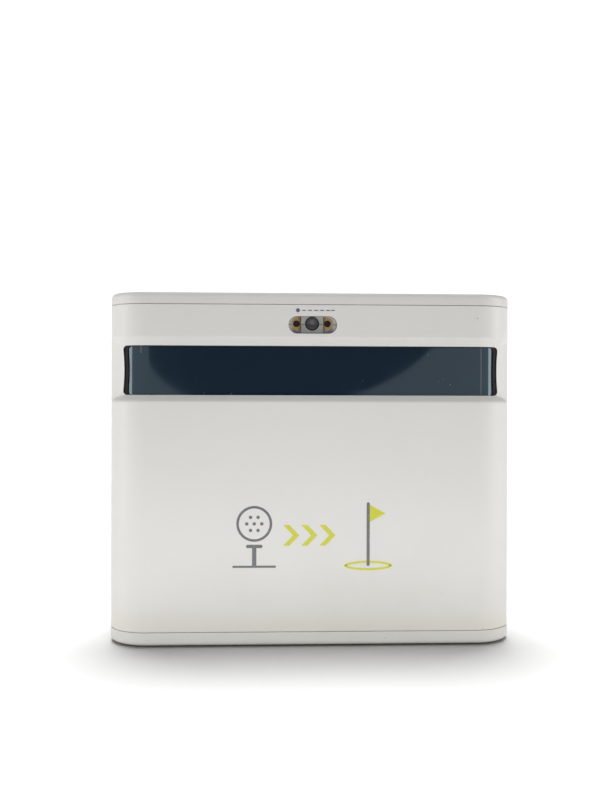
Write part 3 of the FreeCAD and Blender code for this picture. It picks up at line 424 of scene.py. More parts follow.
front_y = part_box("front_shell")[0].y / MM
shell_stains = (
    ((71.6, front_y, 7.1), 0.45, 0.85),
    ((68.7, front_y, 136.4), 0.50, 0.35),
    ((-79.4, front_y, 118.3), 0.40, 0.55),
    ((-82.5, front_y + 4.0, 118.3), 0.35, 0.50),
    ((54.0, front_y, 22.0), 0.25, 0.45),
)
paint(
    moulded_plastic(
        "casing_white", (0.694, 0.687, 0.664, 1), (0.672, 0.661, 0.628, 1),
        shell_stains, (0.20, 0.15, 0.10, 1), foot_tint=0.19,
    ),
    "front_shell", "rear_shell",
)


# ---- Top and bottom caps ----
# Two shallow moulded trays of the same plastic from another batch, a shade greyer, that
# close the case above and below and clip into the shells.

cap_stains = (
    ((-71.5, front_y + 2.0, 142.8), 1.1, 0.16),
    ((-46.0, front_y + 1.5, 144.0), 0.6, 0.14),
    ((30.5, front_y, 3.4), 0.5, 0.20),
)
paint(
    moulded_plastic(
        "cap_white", (0.664, 0.658, 0.634, 1), (0.642, 0.631, 0.598, 1),
        cap_stains, (0.26, 0.21, 0.15, 1), roughness=0.45,
    ),
    "top_cap", "bottom_cap",
)


# ---- Window ----
# One dark acrylic strip that lets the flash and the camera's infra-red through. It is
# polished, heat bent at both ends, and glued into the recess from inside on a foam gasket.

window_low, window_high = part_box("window")
window_height = window_high.z - window_low.z
pane_thickness = 2.0 * MM
pane_edge = 0.2 * MM
bend_radius = 12.5 * MM
bend_steps = 28
bend_centre = Vector((68.5 * MM, window_low.y + bend_radius, 0.0))
bend_angle = math.asin((window_high.x - bend_centre.x) / bend_radius)
flat_margin = 0.8 * MM  # a narrow strip before each bend, so that the flat reflects as a flat
near_enough = 0.1 * MM

bpy.ops.object.select_all(action="DESELECT")
bpy.ops.mesh.primitive_plane_add(
    size=1.0, location=(0.0, window_low.y, (window_low.z + window_high.z) / 2),
    rotation=(level, 0.0, 0.0),
)
pane = bpy.context.object
pane.name = "window_pane"
pane.scale = (2 * (bend_centre.x - flat_margin), window_height, 1.0)
bpy.ops.object.transform_apply(location=True, rotation=True, scale=True)


def select_where(piece, kind, test):
    """Selects a piece's vertices or edges by a test of their middle. Leaves edit mode on."""
    bpy.ops.object.mode_set(mode="EDIT")
    bpy.ops.mesh.select_mode(type=kind)
    bpy.ops.mesh.select_all(action="DESELECT")
    bpy.ops.object.mode_set(mode="OBJECT")
    mesh = piece.data
    points = [v.co for v in mesh.vertices]
    if kind == "VERT":
        parts = [(v, v.co) for v in mesh.vertices]
    else:
        parts = [(e, (points[e.vertices[0]] + points[e.vertices[1]]) / 2) for e in mesh.edges]
    for part, middle in parts:
        part.select = bool(test(middle))
    bpy.ops.object.mode_set(mode="EDIT")


for side in (1, -1):
    select_where(pane, "EDGE", lambda c: side * c.x > bend_centre.x - flat_margin - near_enough)
    bpy.ops.mesh.extrude_region_move(TRANSFORM_OT_translate={"value": (side * flat_margin, 0.0, 0.0)})
    bpy.ops.mesh.spin(
        steps=bend_steps, angle=bend_angle, axis=(0.0, 0.0, -side),
        center=(side * bend_centre.x, bend_centre.y, 0.0),
    )
    bpy.ops.object.mode_set(mode="OBJECT")
bpy.ops.object.mode_set(mode="EDIT")
bpy.ops.mesh.select_all(action="SELECT")
bpy.ops.mesh.remove_doubles(threshold=0.01 * MM)
bpy.ops.mesh.normals_make_consistent(inside=False)
bpy.ops.object.mode_set(mode="OBJECT")


def apply_modifier(piece, kind, **settings):
    """Adds a modifier with its settings and applies it."""
    bpy.context.view_layer.objects.active = piece
    modifier = piece.modifiers.new(kind.lower(), kind)
    for name, value in settings.items():
        setattr(modifier, name, value)
    bpy.ops.object.modifier_apply(modifier=modifier.name)


if pane.data.polygons[0].normal.y > 0:
    pane.data.flip_normals()
apply_modifier(pane, "SOLIDIFY", thickness=pane_thickness, offset=-1.0, use_even_offset=True)
apply_modifier(pane, "BEVEL", width=pane_edge, segments=2, limit_method="ANGLE")
bpy.ops.object.shade_smooth_by_angle(angle=math.radians(12))
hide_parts("window")
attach(pane, "casing")

window_deep = (0.0095, 0.0200, 0.0345, 1)
window_end_reflection = (0.0140, 0.0260, 0.0400, 1)
window_face, tree, shader = new_material(
    "window_acrylic", IOR=1.49, Specular_Tint=(0.80, 1.0, 1.10, 1)
)
place = object_place(tree)
across = add_node(tree, "SeparateXYZ", {0: place})
# Painted reflection: the colour grows lighter towards both ends, as the bent ends reflect the bright room.
toward_end_reflection = stepped(
    tree, number(tree, "ABSOLUTE", across.outputs["X"]), 0.55 * window_high.x, window_high.x
)
body = colour_between(tree, toward_end_reflection, window_deep, window_end_reflection)
dust_cells = add_node(tree, "TexVoronoi", {"Vector": place, "Scale": 620.0})
dust_dot = stepped(tree, dust_cells.outputs["Distance"], 0.22, 0.10)
dust_chance = add_node(tree, "SeparateColor", {0: dust_cells.outputs["Color"]}).outputs[0]
dusty = stepped(tree, noise(tree, place, 38.0, 3.0), 0.52, 0.74)
dust = number(
    tree, "MULTIPLY", dust_dot,
    number(tree, "LESS_THAN", dust_chance, number(tree, "MULTIPLY", dusty, 0.35)),
)
body = colour_between(tree, number(tree, "MULTIPLY", dust, 0.22), body, (0.42, 0.43, 0.44, 1))
glint_line_place = 71.2 * MM  # painted highlight: a faint light line down each bend
glint_line_half = 0.16 * MM
short_glint_line = 5.7 * MM  # on the left it shows only this far down
# Painted highlight: a thin light line down each bend, full height on the right and only near the top on the
# left.
from_middle = number(tree, "ABSOLUTE", across.outputs["X"])
off_glint_line = number(tree, "ABSOLUTE", number(tree, "SUBTRACT", from_middle, glint_line_place))
crease_and_glint = stepped(tree, off_glint_line, glint_line_half, 0.4 * glint_line_half)
right_side = number(tree, "GREATER_THAN", across.outputs["X"], 0.0)
left_top = number(tree, "GREATER_THAN", across.outputs["Z"], window_high.z - short_glint_line)
crease_and_glint = number(tree, "MULTIPLY", crease_and_glint, number(tree, "MAXIMUM", right_side, left_top))
body = colour_between(tree, number(tree, "MULTIPLY", crease_and_glint, 0.30), body, (0.46, 0.48, 0.50, 1))
tree.links.new(body, shader.inputs["Base Color"])
wiped = stepped(tree, noise(tree, place, 26.0, 4.0, 0.6), 0.35, 0.75, 0.030, 0.075)
tree.links.new(number(tree, "ADD", wiped, number(tree, "MULTIPLY", dust, 0.25)), shader.inputs["Roughness"])
finish_with(shader, tree, noise(tree, place, 34.0, 1.0), 0.25, 0.00006)
pane.data.materials.append(window_face)
paint(window_face, "window")


def two_tones(tree, shader, share, first, second, first_matt, second_matt):
    """Colour and roughness that both go from first to second as share goes from 0 to 1."""
    tree.links.new(colour_between(tree, share, first, second), shader.inputs["Base Color"])
    matt = stepped(tree, share, 0.0, 1.0, first_matt, second_matt)
    tree.links.new(matt, shader.inputs["Roughness"])


# Closed-cell foam, die cut, between the window and the shell.
foam, tree, shader = new_material("gasket_foam", Specular_IOR_Level=0.25)
place = object_place(tree)
cell = add_node(tree, "TexVoronoi", {"Vector": place, "Scale": 2300.0})
tone = stepped(tree, cell.outputs["Distance"], 0.1, 0.6)
two_tones(tree, shader, tone, (0.006, 0.006, 0.007, 1), (0.020, 0.020, 0.021, 1), 0.95, 0.80)
finish_with(shader, tree, cell.outputs["Distance"], 0.6, 0.0002)
paint(foam, "window_gasket")


# ---- Aiming laser ----
# A red laser pointer behind a slot above the window. Two grey plastic clamps, one over the
# other, hold its brass barrel and the two brass screw inserts beside its lens.

clamp_light = (0.360, 0.372, 0.345, 1)
clamp_dull = (0.205, 0.203, 0.200, 1)
clamp_end_highlight = (0.520, 0.495, 0.455, 1)
clamp_plastic, tree, shader = new_material("insert_grey", IOR=1.46)
place = object_place(tree)
clamp_low, clamp_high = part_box("laser_clamp_lower")[0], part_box("laser_clamp_upper")[1]
up = add_node(tree, "SeparateXYZ", {0: place}).outputs["Z"]
# Painted shade: the clamps grow darker towards the bottom.
shade_fade_up = stepped(tree, up, clamp_low.z, clamp_high.z)
cloud = stepped(tree, noise(tree, place, 420.0, 4.0), 0.35, 0.7)
body = colour_between(tree, number(tree, "MULTIPLY", cloud, 0.5), clamp_light, clamp_dull)
body = colour_between(tree, shade_fade_up, clamp_dull, body)
# Painted highlight: the clamps' rounded ends, more than about 8 mm to the side, are paler.
sideways = number(tree, "ABSOLUTE", add_node(tree, "SeparateXYZ", {0: place}).outputs["X"])
end_highlight = number(tree, "MULTIPLY", stepped(tree, sideways, 7.8 * MM, 9.0 * MM), 0.8)
body = colour_between(tree, end_highlight, body, clamp_end_highlight)
clamp_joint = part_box("laser_clamp_lower")[1].z
off_joint = number(tree, "ABSOLUTE", number(tree, "SUBTRACT", up, clamp_joint))
joint_dirt = number(tree, "MULTIPLY", stepped(tree, off_joint, 0.26 * MM, 0.08 * MM), 0.55)
body = colour_between(tree, joint_dirt, body, (0.085, 0.082, 0.074, 1))
dirt = use_group(
    tree, handling_dirt, Color=body, Dirt_Color=(0.16, 0.13, 0.10, 1), Smudge=0.25, Specks=0.4
)
tree.links.new(dirt.outputs["Color"], shader.inputs["Base Color"])
grain = use_group(tree, moulded_grain, Grain=3800.0, Drift=160.0)
tree.links.new(stepped(tree, grain.outputs["Matt"], 0.3, 0.7, 0.42, 0.60), shader.inputs["Roughness"])
finish_with(shader, tree, grain.outputs["Height"], 0.35, 0.00004)
paint(clamp_plastic, "laser_clamp_upper", "laser_clamp_lower")

# Marks that a lathe tool leaves: fine rings with a slow change of tone.
turned_marks, entry, leave = new_group(
    "turned_marks",
    [("Pitch", "Float", 1500.0), ("Tarnish", "Float", 120.0)],
    [("Height", "Float"), ("Tarnish", "Float")],
)
place = object_place(turned_marks)
rings = add_node(
    turned_marks, "TexWave",
    {"Vector": place, "Scale": entry.outputs["Pitch"], "Distortion": 1.2, "Detail": 1.0},
    wave_type="BANDS", bands_direction="Y",
)
stale = add_node(
    turned_marks, "TexNoise",
    {"Vector": place, "Scale": entry.outputs["Tarnish"], "Detail": 4.0, "Roughness": 0.6},
)
turned_marks.links.new(rings.outputs["Fac"], leave.inputs["Height"])
turned_marks.links.new(stale.outputs["Fac"], leave.inputs["Tarnish"])


def turned_metal(name, bright, tarnished, polish, pitch=1500.0, relief=0.15):
    """A machined metal with tool marks, duller where it has tarnished. polish is its roughness."""
    material, tree, shader = new_material(name, Metallic=1.0)
    marks = use_group(tree, turned_marks, Pitch=pitch, Tarnish=120.0)
    stale = stepped(tree, marks.outputs["Tarnish"], 0.35, 0.72)
    body = colour_between(tree, stale, bright, tarnished)
    rub = use_group(tree, rubbed_edges, Width=0.0004, Breakup=500.0).outputs["Mask"]
    lit = tuple(min(1.0, c * 1.25) for c in bright[:3]) + (1,)
    tree.links.new(colour_between(tree, rub, body, lit), shader.inputs["Base Color"])
    tree.links.new(stepped(tree, stale, 0.0, 1.0, polish, polish + 0.18), shader.inputs["Roughness"])
    finish_with(shader, tree, marks.outputs["Height"], relief, 0.00002)
    return material


brass_bright = (0.66, 0.46, 0.23, 1)
brass_stale = (0.36, 0.23, 0.12, 1)
paint(
    turned_metal("brass", brass_bright, brass_stale, 0.30),
    "laser_barrel", "foot_inserts", "board_standoffs",
)

# The inserts' blind holes are threaded, and painted dark inside as painted shade.
# Beside the clamps' block the brass carries a painted brown shadow of the block.
insert_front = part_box("laser_inserts")[0].y
threaded = turned_metal("brass_threaded", brass_bright, brass_stale, 0.34)
tree = threaded.node_tree
shader = next(n for n in tree.nodes if n.type == "BSDF_PRINCIPLED")
depth = add_node(tree, "SeparateXYZ", {0: object_place(tree)}).outputs["Y"]
# Painted shade: inside the holes the brass is painted dark, matt and not metallic.
inside = stepped(tree, depth, insert_front + 0.1 * MM, insert_front + 0.6 * MM)
brass_outside_holes = shader.inputs["Base Color"].links[0].from_socket
lens_axis = (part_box("laser_lens")[0].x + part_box("laser_lens")[1].x) / 2
sideways = add_node(tree, "SeparateXYZ", {0: object_place(tree)}).outputs["X"]
off_axis = number(tree, "ABSOLUTE", number(tree, "SUBTRACT", sideways, lens_axis))
# Painted shadow of the block on the brass beside it.
block_shadow = number(tree, "MULTIPLY", stepped(tree, off_axis, 6.2 * MM, 4.4 * MM), 0.8)
brass_outside_holes = colour_between(tree, block_shadow, brass_outside_holes, (0.150, 0.078, 0.042, 1))
tree.links.new(
    colour_between(tree, inside, brass_outside_holes, (0.110, 0.075, 0.078, 1)), shader.inputs["Base Color"]
)
even = shader.inputs["Roughness"].links[0].from_socket
matt_in_holes = number(tree, "MULTIPLY", inside, 0.75)
tree.links.new(number(tree, "MAXIMUM", even, matt_in_holes), shader.inputs["Roughness"])
tree.links.new(number(tree, "SUBTRACT", 1.0, inside), shader.inputs["Metallic"])
paint(threaded, "laser_inserts")

# Coated optical glass: violet-grey at a glance, dark because the barrel behind it is dark.
lens_coated, tree, shader = new_material(
    "lens_glass", IOR=1.62, Coat_Weight=0.6, Coat_Roughness=0.03, Specular_Tint=(0.86, 0.78, 0.90, 1)
)
place = object_place(tree)
haze = stepped(tree, noise(tree, place, 900.0, 3.0), 0.40, 0.75)
two_tones(tree, shader, haze, (0.016, 0.014, 0.020, 1), (0.050, 0.044, 0.056, 1), 0.07, 0.16)
paint(lens_coated, "laser_lens", "lens_front_element", "lens_rear_element")

# The laser's own lens: a polished dome set in a narrow ground rim.
lens_low, lens_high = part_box("laser_lens")
lens_middle = (lens_low + lens_high) / 2
lens_reach = (lens_high.x - lens_low.x) / 2
lens_rim = 0.88 * lens_reach
rim_rise = 0.6 * MM
crown_gap = 0.05 * MM  # the dome's crown stays this far inside the space of the old lens
quarter_turn = math.radians(90)
dome_rings = 9
dome_rise = lens_high.y - lens_low.y - rim_rise - crown_gap
bpy.ops.object.select_all(action="DESELECT")
bpy.ops.mesh.primitive_circle_add(
    vertices=64, radius=lens_reach, fill_type="NGON",
    location=(lens_middle.x, lens_high.y, lens_middle.z), rotation=(level, 0.0, 0.0),
)
dome = bpy.context.object
dome.name = "laser_lens_dome"
bpy.ops.object.transform_apply(location=True, rotation=True, scale=True)
bpy.ops.object.mode_set(mode="EDIT")
bpy.ops.mesh.select_all(action="SELECT")
bpy.ops.mesh.extrude_region_move(TRANSFORM_OT_translate={"value": (0.0, -rim_rise, 0.0)})
bpy.ops.mesh.inset(thickness=lens_reach - lens_rim)
risen = 0.0
for ring in range(1, dome_rings + 1):
    angle = quarter_turn * ring / dome_rings
    step_in = lens_rim * (math.cos(quarter_turn * (ring - 1) / dome_rings) - math.cos(angle))
    step_up = dome_rise * math.sin(angle) - risen
    risen += step_up
    if ring < dome_rings:
        bpy.ops.mesh.inset(thickness=step_in)
        bpy.ops.transform.translate(value=(0.0, -step_up, 0.0))
bpy.ops.mesh.poke()
select_where(
    dome, "VERT",
    lambda c: math.hypot(c.x - lens_middle.x, c.z - lens_middle.z) < near_enough
    and c.y < lens_high.y - rim_rise,
)
bpy.ops.transform.translate(value=(0.0, -step_up, 0.0))
bpy.ops.mesh.select_all(action="SELECT")
bpy.ops.mesh.normals_make_consistent(inside=False)
bpy.ops.object.mode_set(mode="OBJECT")
bpy.ops.object.shade_smooth_by_angle(angle=math.radians(35))

# The same glass seen end on, with painted reflections: greyer towards the top, and a violet painted
# highlight off its middle.
lens_face, tree, shader = new_material(
    "laser_glass", IOR=1.55, Specular_Tint=(0.86, 0.80, 0.90, 1), Specular_IOR_Level=0.35
)
place = object_place(tree)
# Painted reflection: greyer towards the top.
over = add_node(tree, "SeparateXYZ", {0: place}).outputs["Z"]
lit_top = stepped(tree, over, lens_middle.z - 0.4 * lens_reach, lens_middle.z + 0.7 * lens_reach)
body = colour_between(tree, lit_top, (0.020, 0.019, 0.022, 1), (0.075, 0.078, 0.076, 1))
# Painted highlight: a violet patch just above the middle.
flat_place = add_node(tree, "VectorMath", {0: place, 1: (1.0, 0.0, 1.0)}, operation="MULTIPLY").outputs[0]
from_highlight = add_node(
    tree, "VectorMath",
    {0: flat_place, 1: (lens_middle.x, 0.0, lens_middle.z + 0.17 * lens_reach)}, operation="DISTANCE",
).outputs["Value"]
highlight_patch = stepped(tree, from_highlight, 0.50 * lens_reach, 0.18 * lens_reach)
haze = stepped(tree, noise(tree, place, 1400.0, 3.0), 0.35, 0.75, 0.65, 1.0)
body = colour_between(tree, number(tree, "MULTIPLY", highlight_patch, haze), body, (0.160, 0.122, 0.155, 1))
tree.links.new(body, shader.inputs["Base Color"])
tree.links.new(stepped(tree, haze, 0.65, 1.0, 0.10, 0.22), shader.inputs["Roughness"])
dome.data.materials.append(lens_face)
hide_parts("laser_lens")
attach(dome, "casing")


# ---- Printed marks ----
# Pad-printed ink on the face of the case, a few hundredths of a millimetre thick: a plain
# golf picture of ball, tee, chevrons and flag, and a small row of dashes over the laser.

ink_depth = 0.05 * MM
ink_proud = 0.02 * MM
over_print = 0.01 * MM  # how much further a mark stands out that is printed over another


def printed_ink(name, colour, thin):
    """Slightly uneven printing ink."""
    material, tree, shader = new_material(name, IOR=1.5)
    place = object_place(tree)
    cover = stepped(tree, noise(tree, place, 1400.0, 4.0, 0.65), 0.30, 0.55)
    two_tones(tree, shader, cover, thin, colour, 0.55, 0.40)
    finish_with(shader, tree, noise(tree, place, 2600.0), 0.2, 0.00002)
    return material


ink_grey = printed_ink("ink_grey", (0.118, 0.120, 0.123, 1), (0.185, 0.187, 0.188, 1))
ink_lime = printed_ink("ink_lime", (0.555, 0.555, 0.020, 1), (0.600, 0.602, 0.075, 1))


def print_start(add, x, z, face, out, turn, width, height, **shape):
    """One flat outline, in mm, on a face whose outside is towards out along Y."""
    bpy.ops.object.select_all(action="DESELECT")
    add(
        location=(x * MM, face - out * ink_depth, z * MM),
        rotation=(math.radians(-90 * out), math.radians(turn), 0.0), **shape,
    )
    mark = bpy.context.object
    mark.scale = (width * MM, height * MM, 1.0)
    bpy.ops.object.transform_apply(location=True, rotation=True, scale=True)
    bpy.ops.object.mode_set(mode="EDIT")
    bpy.ops.mesh.select_all(action="SELECT")
    return mark


def print_finish(out):
    """Gives the outline the ink's thickness."""
    bpy.ops.mesh.select_all(action="SELECT")
    rise = out * (ink_depth + ink_proud)
    bpy.ops.mesh.extrude_region_move(TRANSFORM_OT_translate={"value": (0.0, rise, 0.0)})
    bpy.ops.mesh.select_all(action="SELECT")
    bpy.ops.mesh.normals_make_consistent(inside=False)
    bpy.ops.object.mode_set(mode="OBJECT")


def printed_bar(x, z, width, height, face, out=-1, corner=0.45):
    """A bar with round corners. corner is a share of its smaller side."""
    mark = print_start(
        bpy.ops.mesh.primitive_plane_add, x, z, face, out, 0.0, width, height, size=1.0
    )
    bpy.ops.mesh.bevel(offset=corner * min(width, height) * MM, segments=6, affect="VERTICES")
    print_finish(out)
    return mark


def printed_chevron(x, z, stroke, height, reach, face):
    """A strip whose middle is pulled to the right by reach."""
    mark = print_start(
        bpy.ops.mesh.primitive_plane_add, x, z, face, -1, 0.0, stroke, height, size=1.0
    )
    bpy.ops.mesh.subdivide(number_cuts=1)
    select_where(mark, "VERT", lambda c: abs(c.z - z * MM) < near_enough)
    bpy.ops.transform.translate(value=(reach * MM, 0.0, 0.0))
    print_finish(-1)
    return mark


def printed_disc(x, z, radius, face, out=-1, corners=40, wide=1.0, turn=0.0):
    """A filled disc, or with few corners a triangle or other plain shape."""
    mark = print_start(
        bpy.ops.mesh.primitive_circle_add, x, z, face, out, turn, radius * wide, radius,
        vertices=corners, radius=1.0, fill_type="NGON",
    )
    print_finish(out)
    return mark


def printed_ring(x, z, radius, stroke, face, out=-1, wide=1.0):
    """A ring, round or flattened."""
    mark = print_start(
        bpy.ops.mesh.primitive_circle_add, x, z, face, out, 0.0, radius * wide, radius,
        vertices=72, radius=1.0, fill_type="NGON",
    )
    bpy.ops.mesh.inset(thickness=stroke * MM)
    bpy.ops.mesh.delete(type="FACE")
    print_finish(out)
    return mark


def one_piece(name, marks, ink):
    """Joins marks of one ink into a piece that rides on the case."""
    bpy.ops.object.select_all(action="DESELECT")
    for mark in marks:
        mark.select_set(True)
    bpy.context.view_layer.objects.active = marks[0]
    bpy.ops.object.join()
    piece = marks[0]
    piece.name = name
    piece.data.name = name
    piece.data.materials.clear()
    piece.data.materials.append(ink)
    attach(piece, "casing")


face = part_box("front_shell")[0].y
ball_x, ball_z, ball_radius = -24.0, 51.0, 7.4
dimple_radius, dimple_ring = 0.72, 3.1
pole_x, hole_z = 23.2, 33.6
chevron_z, chevron_height = 46.2, 8.6

# In mm: each mark's middle, then a bar's width and height, or a ring's radius and stroke.
grey_marks = [
    printed_ring(ball_x, ball_z, ball_radius, 1.05, face),
    printed_disc(ball_x, ball_z, dimple_radius, face),
    printed_bar(ball_x, 41.7, 6.8, 1.4, face),
    printed_bar(ball_x, 37.38, 1.8, 7.24, face, corner=0.03),
    printed_bar(ball_x, 33.3, 18.0, 0.9, face),
    printed_bar(pole_x, 46.6, 1.3, 26.4, face - over_print),
]
for sixth in range(6):
    angle = math.radians(60 * sixth)
    dimple_x = ball_x + dimple_ring * math.cos(angle)
    dimple_z = ball_z + dimple_ring * math.sin(angle)
    grey_marks.append(printed_disc(dimple_x, dimple_z, dimple_radius, face))
lime_marks = [printed_disc(26.0, 55.2, 4.4, face, corners=3, turn=90.0, wide=0.95)]
lime_marks.append(printed_ring(pole_x, hole_z, 2.0, 0.95, face, wide=5.0))
for chevron_x in (-10.8, -3.3, 4.2):
    lime_marks.append(printed_chevron(chevron_x, chevron_z, 2.6, chevron_height, 4.1, face))
one_piece("face_print_grey", grey_marks, ink_grey)
one_piece("face_print_lime", lime_marks, ink_lime)

dash_height = 139.3
dashes = [printed_disc(-6.2, dash_height, 0.85, face)]
for dash_x in (-3.7, -1.2, 1.3, 3.8, 6.3, 8.3):
    dashes.append(printed_bar(dash_x, dash_height, 1.7, 0.42, face))
one_piece("laser_print", dashes, ink_grey)

# The same ink names the controls on the back: power, mode, three lamps and charging.
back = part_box("rear_shell")[1].y
icon_height = 119.6
icons = [
    printed_ring(23.0, icon_height, 1.7, 0.36, back, 1),
    printed_bar(23.0, icon_height + 1.1, 0.42, 1.9, back, 1),
    printed_disc(-24.6, icon_height, 0.9, back, 1, corners=3, turn=90.0),
    printed_bar(-23.0, icon_height, 2.6, 0.42, back, 1),
]
for dot_x in (6.6, 8.0, 9.4):
    icons.append(printed_disc(dot_x, icon_height, 0.42, back, 1))
for count, lamp_x in ((1, -13.0), (2, -8.0), (3, -3.0)):
    for bar_number in range(count):
        icons.append(
            printed_bar(lamp_x, icon_height - 0.9 + 0.8 * bar_number, 1.9, 0.38, back, 1)
        )
one_piece("control_print", icons, ink_grey)


# ---- Feet ----
# Three levelling feet: a soft rubber pad on a turned steel screw with a knurled thumb
# wheel, which runs in a brass insert in the bottom cap.

rubber, tree, shader = new_material("foot_rubber", Specular_IOR_Level=0.35, Sheen_Weight=0.15)
place = object_place(tree)
bloom = stepped(tree, noise(tree, place, 240.0, 5.0, 0.6), 0.40, 0.75)
two_tones(tree, shader, bloom, (0.016, 0.016, 0.017, 1), (0.050, 0.049, 0.047, 1), 0.72, 0.92)
finish_with(shader, tree, noise(tree, place, 1800.0, 3.0), 0.5, 0.00005)
paint(rubber, "foot_pad_left", "foot_pad_right", "foot_pad_rear")

paint(
    turned_metal("foot_steel", (0.56, 0.56, 0.57, 1), (0.33, 0.32, 0.31, 1), 0.26, 2200.0),
    "foot_screw_left", "foot_screw_right", "foot_screw_rear",
)


# ---- Buttons, lights and socket on the back ----
# Two moulded buttons, three light pipes and a charging socket, fixed to the small board
# behind the rear shell.

button_plastic, tree, shader = new_material("button_grey", IOR=1.46)
place = object_place(tree)
patch = stepped(tree, noise(tree, place, 160.0, 3.0), 0.35, 0.7)
body = colour_between(tree, patch, (0.190, 0.193, 0.198, 1), (0.158, 0.160, 0.164, 1))
rub = use_group(tree, rubbed_edges, Width=0.0005, Breakup=420.0).outputs["Mask"]
body = colour_between(tree, rub, body, (0.30, 0.30, 0.31, 1))
dirt = use_group(
    tree, handling_dirt, Color=body, Dirt_Color=(0.26, 0.24, 0.21, 1), Smudge=0.25, Specks=0.3
)
tree.links.new(dirt.outputs["Color"], shader.inputs["Base Color"])
grain = use_group(tree, moulded_grain, Grain=3200.0, Drift=90.0)
tree.links.new(stepped(tree, grain.outputs["Matt"], 0.3, 0.7, 0.40, 0.55), shader.inputs["Roughness"])
finish_with(shader, tree, grain.outputs["Height"], 0.3, 0.00003)
paint(button_plastic, "power_button", "mode_button")

frosted, tree, shader = new_material("light_pipe", IOR=1.49, Transmission_Weight=0.35)
place = object_place(tree)
milk = stepped(tree, noise(tree, place, 3200.0, 3.0), 0.35, 0.7)
two_tones(tree, shader, milk, (0.62, 0.64, 0.64, 1), (0.74, 0.76, 0.75, 1), 0.28, 0.42)
paint(frosted, "light_pipes")

paint(
    turned_metal("socket_steel", (0.50, 0.50, 0.51, 1), (0.36, 0.36, 0.36, 1), 0.30, 900.0, 0.08),
    "usb_socket",
)
paint(
    turned_metal("screw_steel", (0.42, 0.41, 0.40, 1), (0.22, 0.21, 0.20, 1), 0.32, 2600.0, 0.12),
    "shell_screws", "base_screws", "chassis_screws", "board_screws",
)


# ---- Chassis and heat sinks ----
# A bent aluminium sheet that carries the boards and the battery, a heat spreader behind the
# processor, and black finned heat sinks behind the flash lamps.

def rolled_metal(name, bright, dull, roughness, grain_scale, metallic=1.0):
    """Sheet or extruded metal with the long fine lines of the rolls."""
    material, tree, shader = new_material(name, Metallic=metallic)
    place = object_place(tree)
    drawn = add_node(tree, "Mapping", {"Vector": place, "Scale": (0.03, 1.0, 1.0)}).outputs[0]
    lines = noise(tree, drawn, grain_scale, 4.0, 0.65)
    cloud = stepped(tree, noise(tree, place, 60.0, 4.0, 0.6), 0.35, 0.7)
    body = colour_between(tree, cloud, bright, dull)
    rub = use_group(tree, rubbed_edges, Width=0.0004, Breakup=400.0).outputs["Mask"]
    lit = tuple(min(1.0, c * 1.3) for c in bright[:3]) + (1,)
    tree.links.new(colour_between(tree, rub, body, lit), shader.inputs["Base Color"])
    tree.links.new(
        stepped(tree, lines, 0.3, 0.7, roughness - 0.06, roughness + 0.10), shader.inputs["Roughness"]
    )
    finish_with(shader, tree, lines, 0.25, 0.00003)
    return material


paint(
    rolled_metal("chassis_aluminium", (0.70, 0.71, 0.72, 1), (0.56, 0.57, 0.58, 1), 0.36, 1600.0),
    "chassis", "heat_spreader", "camera_standoffs",
)
paint(
    rolled_metal("heatsink_black", (0.028, 0.028, 0.031, 1), (0.045, 0.045, 0.048, 1), 0.46, 1400.0, 0.6),
    "flash_heatsinks",
)


# ---- Circuit boards ----
# Green glass-fibre boards with copper tracks under the solder mask and tinned pads, screwed
# to standoffs. The chips and the radio's steel can are soldered on; its aerial is a thin film.

track_pitch = 460.0
board, tree, shader = new_material("board_green", IOR=1.52, Coat_Weight=0.3, Coat_Roughness=0.15)
place = object_place(tree)
tracks = add_node(
    tree, "TexBrick",
    {
        "Vector": place, "Scale": track_pitch, "Color1": (0, 0, 0, 1), "Color2": (0.2, 0.2, 0.2, 1),
        "Mortar": (1, 1, 1, 1), "Mortar Size": 0.045, "Brick Width": 1.3, "Row Height": 0.5,
    },
    offset=0.37, squash=1.4,
)
zone = stepped(tree, noise(tree, place, 90.0, 1.0), 0.44, 0.50)
copper = number(tree, "MULTIPLY", zone, add_node(tree, "RGBToBW", {0: tracks.outputs["Color"]}).outputs[0])
body = colour_between(tree, copper, (0.006, 0.075, 0.026, 1), (0.020, 0.180, 0.065, 1))
vias = add_node(tree, "TexVoronoi", {"Vector": place, "Scale": 300.0, "Randomness": 0.75})
pad = number(
    tree, "MULTIPLY", stepped(tree, vias.outputs["Distance"], 0.14, 0.10),
    stepped(tree, noise(tree, place, 130.0, 1.0), 0.50, 0.56),
)
body = colour_between(tree, pad, body, (0.55, 0.52, 0.44, 1))
tree.links.new(body, shader.inputs["Base Color"])
tree.links.new(stepped(tree, pad, 0.0, 1.0, 0.36, 0.24), shader.inputs["Roughness"])
tree.links.new(pad, shader.inputs["Metallic"])
finish_with(shader, tree, number(tree, "ADD", copper, pad), 0.4, 0.00004)
paint(board, "main_board", "camera_board", "flash_boards", "io_board", "laser_board")

chip, tree, shader = new_material("chip_black", IOR=1.5)
place = object_place(tree)
epoxy = stepped(tree, noise(tree, place, 1500.0, 4.0), 0.35, 0.7)
two_tones(tree, shader, epoxy, (0.013, 0.013, 0.014, 1), (0.030, 0.030, 0.031, 1), 0.48, 0.62)
finish_with(shader, tree, noise(tree, place, 5200.0, 2.0), 0.4, 0.00002)
paint(chip, "processor", "memory_chips", "tilt_sensor", "push_switches")

shield = rolled_metal("shield_steel", (0.62, 0.62, 0.62, 1), (0.50, 0.50, 0.49, 1), 0.30, 1900.0)
paint(shield, "wifi_module")

